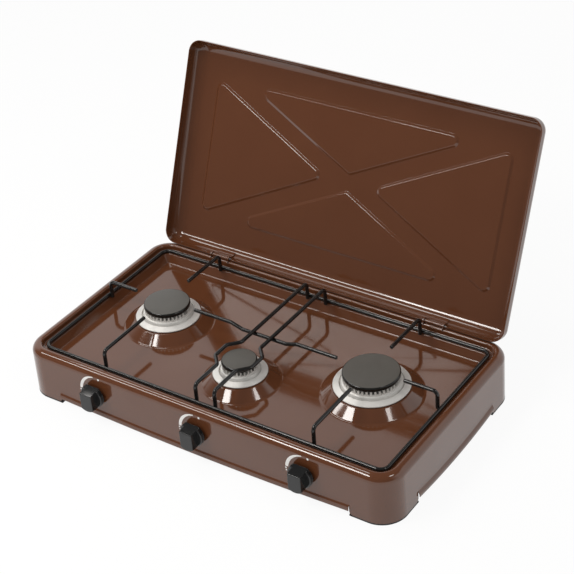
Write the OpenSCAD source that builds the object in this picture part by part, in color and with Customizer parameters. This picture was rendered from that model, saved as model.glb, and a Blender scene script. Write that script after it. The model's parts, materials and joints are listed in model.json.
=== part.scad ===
// Three-burner tabletop gas stove with a lift-off pan support and a hinged lid, shown with the lid open.
// Sizes are in millimetres. X runs to the right along the front, Y to the rear and Z up from the table.

/* [Body] */
// Width across the side walls at the shoulder
body_w = 546; // [506:1:586]
// Depth from the front wall to the rear wall at the shoulder
body_d = 298; // [290:1:326]
// Height of the rim above the table
body_h = 69.2; // [68:0.1:76]
// Height of the tray plate above the table
plate_z = 50; // [47:0.5:52]
// Plan radius of the body's corners
corner_r = 32; // [32:1:36]
// Thickness of the pressed sheet
sheet = 1; // [0.8:0.1:1.2]
// Lean of the outer walls in degrees
wall_draft = 0.8; // [0.5:0.1:2]
// Radius of the rim's inner edge
rim_r = 3; // [2:0.5:4]
// Flat width along the crest of the rim
rim_flat = 0.5; // [0.2:0.1:1.5]
// Height of the pan support's ledge above the tray plate
ledge_h = 11.7; // [10:0.1:12]
// Slope of the bank between the ledge and the tray plate, in degrees
bank_slope = 60; // [60:1:68]

/* [Lower edge and feet] */
// Length of a foot along the front and rear walls, from the body's corner
foot_long = 57; // [50:1:80]
// Length of a foot along the side walls, from the body's corner
foot_short = 58; // [50:1:75]
// Height of the walls' lower edge where it meets a foot
edge_z = 8.5; // [8:0.5:12]
// How far the lower edge dips between two feet
edge_sag = 5; // [3:0.5:6]
// Height of the flared lip along the lower edge
lip_h = 8.5; // [5:0.5:9]
// How far the lip flares outwards
lip_flare = 2.5; // [1:0.5:4]
// Thickness of the foot pads
pad_t = 2; // [1.5:0.5:4]
// Width of the foot pads
pad_w = 8; // [6:1:12]

/* [Pan support] */
// Diameter of the wire
wire_d = 5; // [4:0.5:6]
// Distance of the ring's centre line from the body's walls
ring_inset = 21; // [19:0.5:21]
// Gap between the ring and the tray's inner wall
ring_gap = 5; // [4:0.1:5.5]
// Height of the bars' centre line above the ring's
bar_rise = 22; // [20:1:24]
// Bend radius of the legs
leg_bend = 6; // [5:0.5:8]
// Half distance between the two fork bars
fork_half = 14; // [12:1:18]
// Half width of the fork's opening round the middle burner
fork_bulge = 27; // [26:0.5:30]
// Length of the fork's opening along the bars
fork_open = 24; // [20:1:30]
// Free space between the middle of a burner and the bar ends round it
bar_reach = 47; // [44:0.5:50]

/* [Burners] */
// Distance of the outer burners from the side walls
burner_side = 118; // [110:1:125]
// Distance of the outer burners from the rear wall
burner_rear = 143; // [130:1:150]
// Distance of the middle burner from the front wall
burner_front = 98; // [92:1:100]
// Diameters of the burner caps: left, middle and right
cap_d = [61, 45, 72]; // [40:1:76]
// Flame slots in the burner crowns: left, middle and right
slot_count = [36, 28, 42]; // [20:1:48]
// Width of a flame slot
slot_w = 2.4; // [1.2:0.1:2.6]
// Width of the skirt ring outside the cap
skirt_w = 12; // [10:0.5:14]
// Height of the pressed cones above the tray plate
cone_h = 12; // [10:0.5:14]
// Slope of the pressed cones in degrees
cone_slope = 40; // [36:1:46]
// Diameter of the mixing tubes
tube_d = 16; // [14:0.5:18]

/* [Taps] */
// Height of the knobs' axis above the table
knob_z = 38.5; // [36:0.5:39]
// Diameter of the knobs
knob_d = 33; // [28:1:36]
// Length of the knobs
knob_len = 16; // [13:0.5:18]
// Travel of a knob when it is pushed in
push = 3; // [2:0.5:4]
// Diameter of the stems
stem_d = 6; // [5:0.5:7]
// Diameter of the valve bodies
valve_d = 17; // [16:0.5:20]
// Length of the valve bodies
valve_len = 31; // [30:1:36]
// Outer diameter of the gas manifold
manifold_d = 14; // [12:0.5:15]
// Wall thickness of the gas pipes
pipe_wall = 1.5; // [1:0.1:1.8]
// Distance of the inlet pipe from the left wall
inlet_side = 48; // [42:1:52]
// Outer diameter of the hose nozzle's shank
nozzle_d = 9; // [8:0.5:10]
// Length of the hose nozzle behind its hexagon
nozzle_len = 24; // [20:1:30]

/* [Lid] */
// Distance of the closed lid's edge inside the side walls
lid_step_x = 11.5; // [10:0.5:14]
// Distance of the closed lid's edge inside the front and rear walls
lid_step_y = 8; // [7.5:0.1:8.5]
// Height of the lid from its edge to its panel
lid_h = 24; // [23:0.5:28]
// Radius of the lid's border
border_r = 17; // [14:0.5:18]
// Opening angle of the lid in degrees
lid_angle = 112; // [95:1:116]
// Depth of the pressed panels
panel_depth = 2; // [1:0.5:3]
// Width of the flat cross between the pressed panels
cross_w = 22; // [16:1:30]
// Distance of each hinge from the side wall
hinge_side = 107; // [80:1:130]
// Diameter of the hinge pins
pin_d = 3; // [2.5:0.5:4]
// Height of the hinge pins above the closed lid's edge
pin_rise = 1.8; // [1.6:0.1:2.2]
// Distance between the ears of a hinge
ear_gap = 26.5; // [22:0.5:34]
// Thickness of the hinge brackets and leaves
bracket_t = 1.5; // [1.2:0.1:2]

/* [Hidden] */
$fn = 64;

enamel = [0.35, 0.15, 0.08];
black = [0.07, 0.07, 0.07];
cast = [0.78, 0.76, 0.72];
steel = [0.6, 0.6, 0.62];
brass = [0.75, 0.6, 0.3];

// Clearances: pieces that only rest, running fits, screws and welded wires
seat_gap = 0.3;
run_gap = 0.05;
screw_gap = 0.2;
weld_gap = 0.1;

// Spine of the body: the profile is swept round this rectangle, u millimetres outside it
spine_x = body_w / 2 - corner_r;
spine_y = body_d / 2 - corner_r;
tray_lean = 4;
ledge_fillet = 2.2;
ledge_edge_r = 2;
plate_fillet = 3;
ring_u = corner_r - ring_inset;
ledge_z = plate_z + ledge_h;
ring_z = ledge_z + seat_gap + wire_d / 2;
bar_z = ring_z + bar_rise;
rim_u = tray_u(body_h - rim_r + rim_r * sin(tray_lean)) + rim_r * cos(tray_lean);
shoulder_r = corner_r - rim_u - rim_flat;
shoulder_z = body_h - shoulder_r;
ledge_back_u = tray_u(ledge_z + ledge_fillet * (1 - sin(tray_lean))) - ledge_fillet * cos(tray_lean);
ledge_front_u = ring_u - ledge_edge_r / 2;
bank_drop = ledge_h - (ledge_edge_r + plate_fillet) * (1 - cos(bank_slope));
plate_u = ledge_front_u - (ledge_edge_r + plate_fillet) * sin(bank_slope) - bank_drop / tan(bank_slope);

// Half length of the cuts through one sheet
through = 5;

// Lower edge: one arc from foot to foot, with the lip's crease parallel to it
edge_depth = 12;
front_half = body_w / 2 - foot_long;
side_half = body_d / 2 - foot_short;
crease_z = edge_z + lip_h;
arc_fn = 720;

// Burners: heights above the seat on top of the cone
LEFT = 0;
MIDDLE = 1;
RIGHT = 2;
burner_x = [burner_side - body_w / 2, 0, body_w / 2 - burner_side];
burner_y = [body_d / 2 - burner_rear, burner_front - body_d / 2, body_d / 2 - burner_rear];
seat_z = plate_z + cone_h;
crown_base = 7.6;
slot_base = 10.4;
crown_h = 15;
cap_h = 6.2;
crown_w = 6.5;
neck_len = 7;
cup_wall = 1.5;
cup_bottom = knob_z - tube_d / 2 - 3;
flange_t = 2;
burner_screw_d = 3;

// Taps: places along Y, counted from the inside of the front wall
wall_y = -(body_d / 2 + (shoulder_z - knob_z) * tan(wall_draft));
valve_y = -body_d / 2 + sheet + 2;
valve_end = valve_y + valve_len;
gland_len = 3.5;
gland_d = valve_d - 4;
plug_d = valve_d - 7;
plug_y = valve_y + gland_len + push + 1.5;
plug_len = 17;
tongue_t = 1.8;
tongue_w = 5;
tongue_len = 8.5;
stem_y = plug_y - push - 0.5;
knob_y = wall_y - push - 0.6;
knob_front = knob_y - knob_len;
knob_bore = 10;
manifold_y = valve_y + 15;
boss_h = 2.5;
manifold_z = knob_z - valve_d / 2 - boss_h - manifold_d / 2;
valve_foot_d = 12;
spigot_d = 7;
inlet_x = inlet_side - body_w / 2;
pipe_bend = 16;
pipe_in = 8;
manifold_left = inlet_x + pipe_bend + 6;
manifold_right = burner_x[RIGHT] + 30;
jet_d = 8;
jet_len = 12;
tube_y = valve_end + jet_len + 4;
pipe_d = manifold_d - 2 * pipe_wall - 2 * run_gap;
clip_x = (burner_x[RIGHT] - burner_x[MIDDLE]) / 2;
clip_w = 14;
rear_y = body_d / 2 + (shoulder_z - manifold_z) * tan(wall_draft);
nozzle_hex = 18;
nozzle_in = 20;

// Hinges, in the place the closed lid has
lid_w = body_w - 2 * lid_step_x;
lid_d = body_d - 2 * lid_step_y;
lid_edge_z = body_h + 1;
lid_top = lid_edge_z + lid_h;
hinge_x = body_w / 2 - hinge_side;
pin_y = lid_d / 2 - 0.8;
pin_z = lid_edge_z + pin_rise;
ear_r = pin_d / 2 + 2.5;
ear_back = pin_d / 2 + 1;
knuckle_r = pin_d / 2 + 0.8;
ear_mid = ear_gap / 2 + bracket_t / 2;
notch_half = ear_gap / 2 + bracket_t + 2;
notch_h = pin_z + ear_r + 0.5 - lid_edge_z;
hinge_screw_d = 3;
hinge_screw_z = 46;
hinge_screw_x = 8;
rear_in = body_d / 2 - sheet / cos(wall_draft) - run_gap;
leaf_angle = 45;

// The origin is under the middle of the whole stove, with its lid open
border_top = turned([-lid_d / 2 + border_r, lid_top - border_r]);
reach_rear = border_top[0] + border_r;
frame_shift = -(knob_front + reach_rear) / 2;

// Place in (y, z) of a point of the closed lid, once the lid is open
function turned(p) = [
    pin_y + (p[0] - pin_y) * cos(lid_angle) + (p[1] - pin_z) * sin(lid_angle),
    pin_z - (p[0] - pin_y) * sin(lid_angle) + (p[1] - pin_z) * cos(lid_angle)
];

// Points of an arc round c from angle a to angle b
function arc(c, r, a, b, n = 6) = [
    for (i = [0:n]) let (angle = a + (b - a) * i / n) c + r * [cos(angle), sin(angle)]
];
function reversed(list) = [for (i = [len(list) - 1:-1:0]) list[i]];
function unit(v) = v / norm(v);

// The tray's inner wall clears the pan support's ring by ring_gap
function tray_u(z) = ring_u + wire_d / 2 + ring_gap + (z - ring_z) * tan(tray_lean);
function wall_u(z) = corner_r + (shoulder_z - z) * tan(wall_draft);

// Section through the body from the wall's foot to the tray plate, t below the skin
function body_skin(t) = concat(
    [[wall_u(pad_t) - t, pad_t]],
    arc([corner_r - shoulder_r, shoulder_z], shoulder_r - t, 0, 90, 8),
    arc([rim_u, body_h - rim_r], rim_r - t, 90, 180 - tray_lean, 5),
    arc([ledge_back_u, ledge_z + ledge_fillet], ledge_fillet + t, -tray_lean, -90, 4),
    arc([ledge_front_u, ledge_z - ledge_edge_r], ledge_edge_r - t, 90, 90 + bank_slope, 4),
    arc([plate_u, plate_z + plate_fillet], plate_fillet + t, bank_slope - 90, -90, 4),
    [[0, plate_z - t]]
);

// Section through a pressed cone whose flat top has radius r, t below the skin
cone_fillet = 6;
cone_edge_r = 2.5;
cone_run = (cone_fillet + cone_edge_r) * sin(cone_slope)
    + (cone_h - (cone_fillet + cone_edge_r) * (1 - cos(cone_slope))) / tan(cone_slope);
function cone_skin(r, hole, t) = concat(
    arc([r + cone_run, plate_z + cone_fillet], cone_fillet + t, -90, -90 - cone_slope, 5),
    arc([r, seat_z - cone_edge_r], cone_edge_r - t, 90 - cone_slope, 90, 4),
    [[hole, seat_z - t]]
);
function cap_r(i) = cap_d[i] / 2;
function skirt_r(i) = cap_r(i) + skirt_w;
function cone_top_r(i) = skirt_r(i) + 0.5;
function cone_hole_r(i) = cap_r(i) - 3;
function neck_r(i) = cone_hole_r(i) - 0.4;
function screw_ring_r(i) = cap_r(i) + 1.5;

// Sweep a section round the four sides and corners of a rectangle
module around(x, y) {
    for (turn = [0, 180]) rotate(turn) {
        translate([x, y, 0]) rotate_extrude(angle = 90) children();
        translate([-x, y, 0]) rotate(90) rotate_extrude(angle = 90) children();
        translate([-x, y, 0]) rotate([90, 0, 90]) linear_extrude(2 * x) children();
        translate([x, y, 0]) rotate([90, 0, 0]) linear_extrude(2 * y) children();
    }
}

// Pipe or wire through points, with a round bend of the given radius at each inner point
module wire_run(points, bend, d) {
    last = len(points) - 1;
    function heading(i) = unit(points[i + 1] - points[i]);
    function turn(i) = acos(max(-1, min(1, heading(i - 1) * heading(i))));
    function trim(i) = i == 0 || i == last ? 0 : bend * tan(turn(i) / 2);
    for (i = [0:last - 1]) {
        run = heading(i);
        side = unit(abs(run[2]) > 0.9 ? cross(run, [1, 0, 0]) : cross(run, [0, 0, 1]));
        start = points[i] + run * trim(i);
        frame_at(side, cross(run, side), run, start)
            cylinder(d = d, h = norm(points[i + 1] - points[i]) - trim(i) - trim(i + 1));
    }
    for (i = [1:1:last - 1]) {
        run = heading(i - 1);
        inward = unit(heading(i) - (heading(i) * run) * run);
        middle = points[i] - run * trim(i) + bend * inward;
        frame_at(-inward, run, cross(-inward, run), middle)
            rotate_extrude(angle = turn(i)) translate([bend, 0]) circle(d = d);
    }
}

// Centre line through points, with the arcs of its bends in steps
function bend_points(points, bend, i) = let (
    run = unit(points[i] - points[i - 1]),
    next = unit(points[i + 1] - points[i]),
    turn = acos(run * next),
    inward = unit(next - (next * run) * run),
    middle = points[i] - run * bend * tan(turn / 2) + bend * inward,
    steps = ceil(turn / 15)
) [for (k = [0:steps]) middle + bend * (run * sin(turn * k / steps) - inward * cos(turn * k / steps))];
function bent_path(points, bend) = concat(
    [points[0]],
    [for (i = [1:len(points) - 2]) each bend_points(points, bend, i)],
    [points[len(points) - 1]]
);

// Wire with bends at any angle, swept with one side of its section kept towards a given direction
module bent_wire(points, bend, d, keep) {
    sides = 12;
    path = bent_path(points, bend);
    last = len(path) - 1;
    rings = [for (i = [0:last]) let (
        run = unit(path[min(i + 1, last)] - path[max(i - 1, 0)]),
        side = unit(keep - (keep * run) * run),
        up = cross(run, side)
    ) for (k = [0:sides - 1]) path[i] + d / 2 * (side * cos(360 * k / sides) + up * sin(360 * k / sides))];
    function at(i, k) = i * sides + k % sides;
    polyhedron(rings, concat(
        [[for (k = [0:sides - 1]) k]],
        [for (i = [0:last - 1], k = [0:sides - 1]) [at(i, k), at(i + 1, k), at(i, k + 1)]],
        [for (i = [0:last - 1], k = [0:sides - 1]) [at(i + 1, k), at(i + 1, k + 1), at(i, k + 1)]],
        [[for (k = [sides - 1:-1:0]) at(last, k)]]
    ));
}

// Place children in a frame of three axes at a point
module frame_at(x, y, z, p) {
    multmatrix([
        [x[0], y[0], z[0], p[0]],
        [x[1], y[1], z[1], p[1]],
        [x[2], y[2], z[2], p[2]],
        [0, 0, 0, 1]
    ]) children();
}

module placed() {
    translate([0, frame_shift, 0]) children();
}

// Turn pieces that are drawn on the closed lid to its open place
module lid_open() {
    placed() translate([0, pin_y, pin_z]) rotate([-lid_angle, 0, 0])
        translate([0, -pin_y, -pin_z]) children();
}

// Cylinder along +Y from y0 to y1
module along_y(y0, y1, d, d_end = undef) {
    translate([0, y0, 0]) rotate([-90, 0, 0])
        cylinder(d1 = d, d2 = is_undef(d_end) ? d : d_end, h = y1 - y0);
}

module at_burner(i) {
    placed() translate([burner_x[i], burner_y[i], 0]) children();
}

module at_tap(i) {
    placed() translate([burner_x[i], 0, knob_z]) children();
}

// Body shell

module body_sheet() {
    around(spine_x, spine_y) polygon(concat(body_skin(0), reversed(body_skin(sheet))));
    difference() {
        translate([-spine_x, -spine_y, plate_z - sheet]) cube([2 * spine_x, 2 * spine_y, sheet]);
        for (i = [LEFT:RIGHT]) translate([burner_x[i], burner_y[i], plate_z - 2 * sheet])
            cylinder(r = cone_top_r(i) + cone_run, h = 3 * sheet);
    }
    for (i = [LEFT:RIGHT]) translate([burner_x[i], burner_y[i], 0]) rotate_extrude()
        polygon(concat(
            cone_skin(cone_top_r(i), cone_hole_r(i), 0),
            reversed(cone_skin(cone_top_r(i), cone_hole_r(i), sheet))
        ));
}

// Radius of the lower edge's arc across half a span, and the height of its centre
function edge_r(half) = (half * half + edge_sag * edge_sag) / (2 * edge_sag);
function edge_centre(half) = edge_z - edge_sag + edge_r(half);

// What is cut away below the crease of the rear wall, between the feet
module edge_cut(half, wall) {
    difference() {
        translate([-half, wall - edge_depth, 0]) cube([2 * half, 2 * edge_depth, crease_z + edge_sag]);
        translate([0, wall, edge_centre(half)]) rotate([90, 0, 0])
            cylinder(r = edge_r(half) - lip_h, h = 3 * edge_depth, center = true, $fn = arc_fn);
    }
}

// Flared lip of the rear wall, with a narrow tongue that joins it to the sheet above
module edge_lip(half, wall) {
    r = edge_r(half);
    sweep = 2 * asin(half / r);
    translate([0, 0, edge_centre(half)]) rotate([-90, 0, 0]) rotate(90 - sweep / 2)
        rotate_extrude(angle = sweep, $fn = arc_fn)
            polygon([
                [r - lip_h + 0.15, wall - sheet],
                [r - lip_h - sheet, wall - 0.65 * sheet],
                [r - lip_h - sheet, wall - 0.35 * sheet],
                [r - lip_h + 0.15, wall],
                [r, wall + lip_flare],
                [r, wall + lip_flare - sheet]
            ]);
}

// Children made for the rear wall, repeated on the four walls: first for front and rear, then for the sides
module on_walls() {
    for (turn = [0, 180]) {
        rotate(turn) children(0);
        rotate(turn + 90) children(1);
    }
}

module hinge_slots() {
    for (side = [-1, 1], ear = [-1, 1])
        translate([side * hinge_x + ear * ear_mid, pin_y, pin_z])
            cube([bracket_t + 2 * seat_gap, 2 * ear_r + 2 * seat_gap, 4 * ear_r], center = true);
}

module body_shell() {
    wall = wall_u(crease_z - edge_sag / 2);
    color(enamel) placed() difference() {
        union() {
            difference() {
                body_sheet();
                on_walls() {
                    edge_cut(front_half, spine_y + wall);
                    edge_cut(side_half, spine_x + wall);
                }
            }
            on_walls() {
                edge_lip(front_half, spine_y + wall);
                edge_lip(side_half, spine_x + wall);
            }
        }
        for (i = [LEFT:RIGHT]) {
            translate([burner_x[i], wall_y, knob_z]) along_y(-through, through, stem_d + 3);
            for (side = [-1, 1])
                translate([burner_x[i] + side * screw_ring_r(i), burner_y[i], seat_z - 2 * sheet])
                    cylinder(d = burner_screw_d + 2 * screw_gap, h = 3 * sheet);
        }
        translate([inlet_x, rear_y, manifold_z]) along_y(-through, through, nozzle_d + 3 + 2 * screw_gap);
        hinge_slots();
        hinge_screw_places() along_y(-through, through, hinge_screw_d + 2 * screw_gap);
    }
}

// Feet

module foot_pad(x, y) {
    inner = wall_u(pad_t) - sheet;
    section = [
        [inner + sheet - pad_w, 0],
        [inner + sheet, 0],
        [inner + sheet, pad_t - run_gap],
        [inner - weld_gap, pad_t - run_gap],
        [inner - weld_gap - pad_t * tan(wall_draft), 2 * pad_t + 2],
        [inner - 2, 2 * pad_t + 2],
        [inner - 2.5, pad_t],
        [inner + sheet - pad_w, pad_t]
    ];
    color(black) placed() mirror([x < 0 ? 1 : 0, 0, 0]) mirror([0, y < 0 ? 1 : 0, 0])
        translate([spine_x, spine_y, 0]) {
            rotate_extrude(angle = 90) polygon(section);
            translate([-(foot_long - corner_r), 0, 0]) rotate([90, 0, 90])
                linear_extrude(foot_long - corner_r) polygon(section);
            rotate([90, 0, 0]) linear_extrude(foot_short - corner_r) polygon(section);
        }
}

// Lid hinges

// The four screws of the hinge brackets, on the inner face of the rear wall
module hinge_screw_places() {
    for (side = [-1, 1], screw = [-1, 1])
        translate([side * hinge_x + screw * hinge_screw_x, rear_face(hinge_screw_z), hinge_screw_z])
            children();
}
function rear_face(z) = rear_in + (shoulder_z - z) * tan(wall_draft);

module hinge_bracket(side) {
    foot_top = shoulder_z - 4;
    foot_low = hinge_screw_z - 6;
    color(enamel) placed() difference() {
        translate([side * hinge_x, 0, 0]) {
            for (ear = [-1, 1]) translate([ear * ear_mid - bracket_t / 2, 0, 0])
                rotate([90, 0, 90]) linear_extrude(bracket_t) difference() {
                    union() {
                        translate([pin_y, pin_z]) circle(r = ear_r);
                        polygon([
                            [pin_y - ear_back, pin_z],
                            [pin_y - ear_back, foot_top],
                            [rear_face(foot_low) - bracket_t - 3, foot_low],
                            [rear_face(foot_low), foot_low],
                            [rear_face(foot_top), foot_top],
                            [pin_y + ear_back, pin_z - 2 * knuckle_r],
                            [pin_y + ear_back, pin_z]
                        ]);
                    }
                    translate([pin_y, pin_z]) circle(d = pin_d + 2 * run_gap);
                }
            translate([-ear_gap / 2 - bracket_t, 0, 0]) rotate([90, 0, 90])
                linear_extrude(ear_gap + 2 * bracket_t) polygon([
                    [rear_face(foot_low) - bracket_t, foot_low],
                    [rear_face(foot_low), foot_low],
                    [rear_face(foot_top), foot_top],
                    [rear_face(foot_top) - bracket_t, foot_top]
                ]);
        }
        hinge_screw_places() along_y(-through, through, hinge_screw_d + 2 * run_gap);
    }
}

module hinge_pin(side) {
    half = ear_mid + bracket_t / 2 + seat_gap;
    head = 1;
    color(steel) placed() translate([side * hinge_x, pin_y, pin_z]) rotate([0, 90, 0]) rotate_extrude()
        polygon([
            [0, -half - head], [pin_d / 2 + 0.7, -half - head], [pin_d / 2 + 0.7, -half],
            [pin_d / 2, -half], [pin_d / 2, half + 0.6], [pin_d / 2 - 0.4, half + head], [0, half + head]
        ]);
}

// Rounded heads outside the rear wall, shanks through the wall and the bracket
module hinge_screws() {
    head_r = 3;
    head_h = 1.8;
    out = sheet + 0.1;
    color(steel) placed() hinge_screw_places() rotate([-90, 0, 0]) rotate_extrude() polygon(concat(
        [[0, -bracket_t - 2], [hinge_screw_d / 2, -bracket_t - 2], [hinge_screw_d / 2, out], [head_r, out]],
        [for (a = [0:18:90]) [head_r * cos(a), out + 0.4 + (head_h - 0.4) * sin(a)]]
    ));
}

// Gas supply

module gas_manifold() {
    color(steel) placed() difference() {
        translate([0, manifold_y, manifold_z]) {
            translate([manifold_left, 0, 0]) rotate([0, 90, 0])
                cylinder(d = manifold_d, h = manifold_right - manifold_left);
            for (i = [LEFT:RIGHT]) translate([burner_x[i], 0, 0])
                cylinder(d = valve_foot_d, h = manifold_d / 2 + boss_h);
        }
        translate([manifold_left - 1, manifold_y, manifold_z]) rotate([0, 90, 0])
            cylinder(d = manifold_d - 2 * pipe_wall, h = manifold_right - manifold_left + 2);
        for (i = [LEFT:RIGHT]) translate([burner_x[i], manifold_y, manifold_z])
            cylinder(d = spigot_d + 2 * run_gap, h = manifold_d);
    }
}

module manifold_plug() {
    bore = manifold_d - 2 * pipe_wall - 2 * run_gap;
    color(brass) placed() translate([manifold_right, manifold_y, manifold_z]) rotate([0, 90, 0]) {
        translate([0, 0, -8]) cylinder(d = bore, h = 8);
        cylinder(d = manifold_d + 1, h = 4, $fn = 6);
    }
}

// Strap round the manifold with a tab welded under the tray plate
module manifold_clip(side) {
    t = bracket_t;
    r = manifold_d / 2 + run_gap;
    top = plate_z - sheet - manifold_z;
    tab_y = -spine_y - plate_u - manifold_y + 1;
    color(steel) placed() translate([side * clip_x - clip_w / 2, manifold_y, manifold_z])
        rotate([90, 0, 90]) linear_extrude(clip_w) difference() {
            union() {
                circle(r = r + t);
                translate([r, 0]) square([t, top - t]);
                translate([r, top - t]) square([max(tab_y, r) - r + clip_w, t]);
            }
            circle(r = r);
        }
}

module inlet_pipe() {
    start = [manifold_left + pipe_in, manifold_y, manifold_z];
    corner = [inlet_x, manifold_y, manifold_z];
    end = [inlet_x, rear_y - sheet - nozzle_in + pipe_in, manifold_z];
    color(steel) placed() difference() {
        wire_run([start, corner, end], pipe_bend, pipe_d);
        wire_run([start, corner, end], pipe_bend, pipe_d - 2 * pipe_wall);
    }
}

// Barbed nozzle for the gas hose, with a shank through the rear wall
module hose_nozzle() {
    shank = nozzle_d + 3;
    barb = nozzle_d + 1.6;
    barb_len = 5;
    hex_len = 6;
    inside = sheet + nozzle_in;
    end = hex_len + nozzle_len;
    color(brass) placed() translate([inlet_x, rear_y + 0.4, manifold_z]) difference() {
        union() {
            along_y(-inside, 0, shank);
            rotate([-90, 0, 0]) cylinder(d = nozzle_hex, h = hex_len, $fn = 6);
            along_y(hex_len, end, nozzle_d);
            for (i = [0:2]) let (back = end - i * barb_len)
                along_y(back - barb_len, back - 1.5, barb, nozzle_d - 0.4);
        }
        along_y(-inside - 1, -inside + pipe_in + 2, pipe_d + 2 * run_gap);
        along_y(-inside + pipe_in, end + 1, nozzle_d - 3);
    }
}

module inlet_nut() {
    color(brass) placed() translate([inlet_x, rear_y - sheet - 0.4, manifold_z])
        rotate([90, 0, 0]) difference() {
            cylinder(d = nozzle_hex, h = 5, $fn = 6);
            translate([0, 0, -1]) cylinder(d = nozzle_d + 3 + 2 * run_gap, h = 7);
        }
}

// Taps

module valve_body(i) {
    channel = 3;
    color(brass) at_tap(i) difference() {
        union() {
            along_y(valve_y, valve_end, valve_d);
            translate([0, manifold_y, -valve_d / 2]) cylinder(d = valve_foot_d, h = valve_d / 2);
            translate([0, manifold_y, -valve_d / 2 - boss_h - pipe_wall])
                cylinder(d = spigot_d, h = valve_d / 2);
        }
        along_y(valve_y - 1, valve_y + gland_len, gland_d + 2 * run_gap);
        along_y(valve_y, plug_y + plug_len + seat_gap, plug_d + 2 * run_gap);
        along_y(valve_y + 10, valve_end + 1, channel);
        along_y(valve_end - 7, valve_end + 1, jet_d - 2 + 2 * run_gap);
        translate([0, manifold_y, -valve_d]) cylinder(d = channel, h = valve_d);
    }
}

module gland_nuts() {
    color(brass) for (i = [LEFT:RIGHT]) at_tap(i) difference() {
        along_y(valve_y - 2, valve_y + gland_len - 0.1, gland_d);
        along_y(valve_y - 3, valve_y + gland_len, stem_d + 2 * run_gap);
    }
}

module jet(i) {
    color(brass) at_tap(i) difference() {
        union() {
            along_y(valve_end - 6, valve_end + 1, jet_d - 2);
            translate([0, valve_end, 0]) rotate([-90, 0, 0]) cylinder(d = jet_d + 2, h = 5, $fn = 6);
            along_y(valve_end + 5, valve_end + jet_len, jet_d - 1, jet_d - 4);
        }
        along_y(valve_end - 7, valve_end + jet_len - 3, 3);
        along_y(valve_end, valve_end + jet_len + 1, 0.8);
    }
}

// Turning plug with a slot for the stem's tongue and a gas way
module valve_plug(i) {
    color(steel) at_tap(i) difference() {
        along_y(plug_y, plug_y + plug_len, plug_d);
        translate([-tongue_t / 2 - screw_gap, plug_y - 1, -tongue_w / 2 - screw_gap])
            cube([tongue_t + 2 * screw_gap, 1 + tongue_len + 0.5, tongue_w + 2 * screw_gap]);
        along_y(plug_y + tongue_len + 3, plug_y + plug_len + 1, 3);
        translate([0, plug_y + tongue_len + 4.5, 0]) rotate([180, 0, 0]) cylinder(d = 2.5, h = plug_d);
    }
}

// Stem with a flat for the knob and a tongue that slides in the plug
module stem(i) {
    flat = stem_d / 2 - 1.2;
    color(steel) at_tap(i) {
        difference() {
            along_y(knob_y - knob_bore + 0.5, stem_y, stem_d);
            translate([-stem_d, knob_y - knob_bore - 1, flat]) cube([2 * stem_d, knob_bore + 1, stem_d]);
        }
        translate([-tongue_t / 2, stem_y - 1, -tongue_w / 2]) cube([tongue_t, tongue_len + 1, tongue_w]);
    }
}

// Knob: a round base with a grip bar across it, a sloped top, a hollow back and a bore for the stem's flat
module knob(i) {
    r = knob_d / 2;
    flat = stem_d / 2 - 1.2;
    edge = 1.5;
    base = 6;
    hub_d = stem_d + 6;
    hollow = 4;
    hollow_r = 0.6 * r;
    slope = 12;
    grip_r = r - 0.5;
    grip_w = 1.1 * r;
    grip_top = 0.58 * r;
    corner = acos(grip_w / 2 / grip_r);
    color(black) at_tap(i) difference() {
        translate([0, knob_y, 0]) rotate([90, 0, 0]) {
            rotate_extrude() polygon(concat(
                [[0, -0.01], [hub_d / 2, -0.01], [hub_d / 2, hollow], [hollow_r, hollow]],
                [[hollow_r, 0], [r, 0]],
                arc([r - edge, base - edge], edge, 0, 90, 4),
                [[0, base]]
            ));
            translate([0, 0, base - 1]) linear_extrude(knob_len - base + 1) polygon(concat(
                [[grip_w / 2, r], [-grip_w / 2, r]],
                arc([0, 0], grip_r, 180 + corner, 360 - corner, 12)
            ));
        }
        translate([-r - 1, knob_front, grip_top]) rotate([slope, 0, 0])
            translate([0, -1, 0]) cube([2 * r + 2, 2 * knob_len, 2 * r]);
        difference() {
            along_y(knob_y - knob_bore, knob_y + 1, stem_d + 2 * run_gap);
            translate([-stem_d, knob_y - knob_bore - 1, flat + run_gap])
                cube([2 * stem_d, knob_bore, stem_d]);
        }
    }
}

// Burners

// Cup under the cone with its flange and the mixing tube towards the tap
module burner_cup(i) {
    inner = neck_r(i) + 0.3;
    outer = inner + cup_wall;
    flange = screw_ring_r(i) + 4;
    top = seat_z - sheet;
    tube_len = burner_y[i] - tube_y;
    color(cast) at_burner(i) difference() {
        union() {
            translate([0, 0, cup_bottom]) cylinder(r = outer, h = top - cup_bottom);
            translate([0, 0, top - flange_t]) cylinder(r = flange, h = flange_t);
            translate([0, 0, knob_z]) {
                along_y(-tube_len, 0, tube_d);
                along_y(-tube_len, -tube_len + 5, tube_d + 5, tube_d);
            }
        }
        translate([0, 0, cup_bottom + cup_wall]) cylinder(r = inner, h = top - cup_bottom);
        translate([0, 0, knob_z]) {
            along_y(-tube_len - 1, 0, tube_d - 2 * cup_wall);
            along_y(-tube_len - 1, -tube_len + 5, tube_d + 3, tube_d - 2 * cup_wall);
        }
        for (side = [-1, 1]) translate([side * screw_ring_r(i), 0, top - flange_t - 1])
            cylinder(d = burner_screw_d + 2 * screw_gap, h = flange_t + 2);
    }
}

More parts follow.
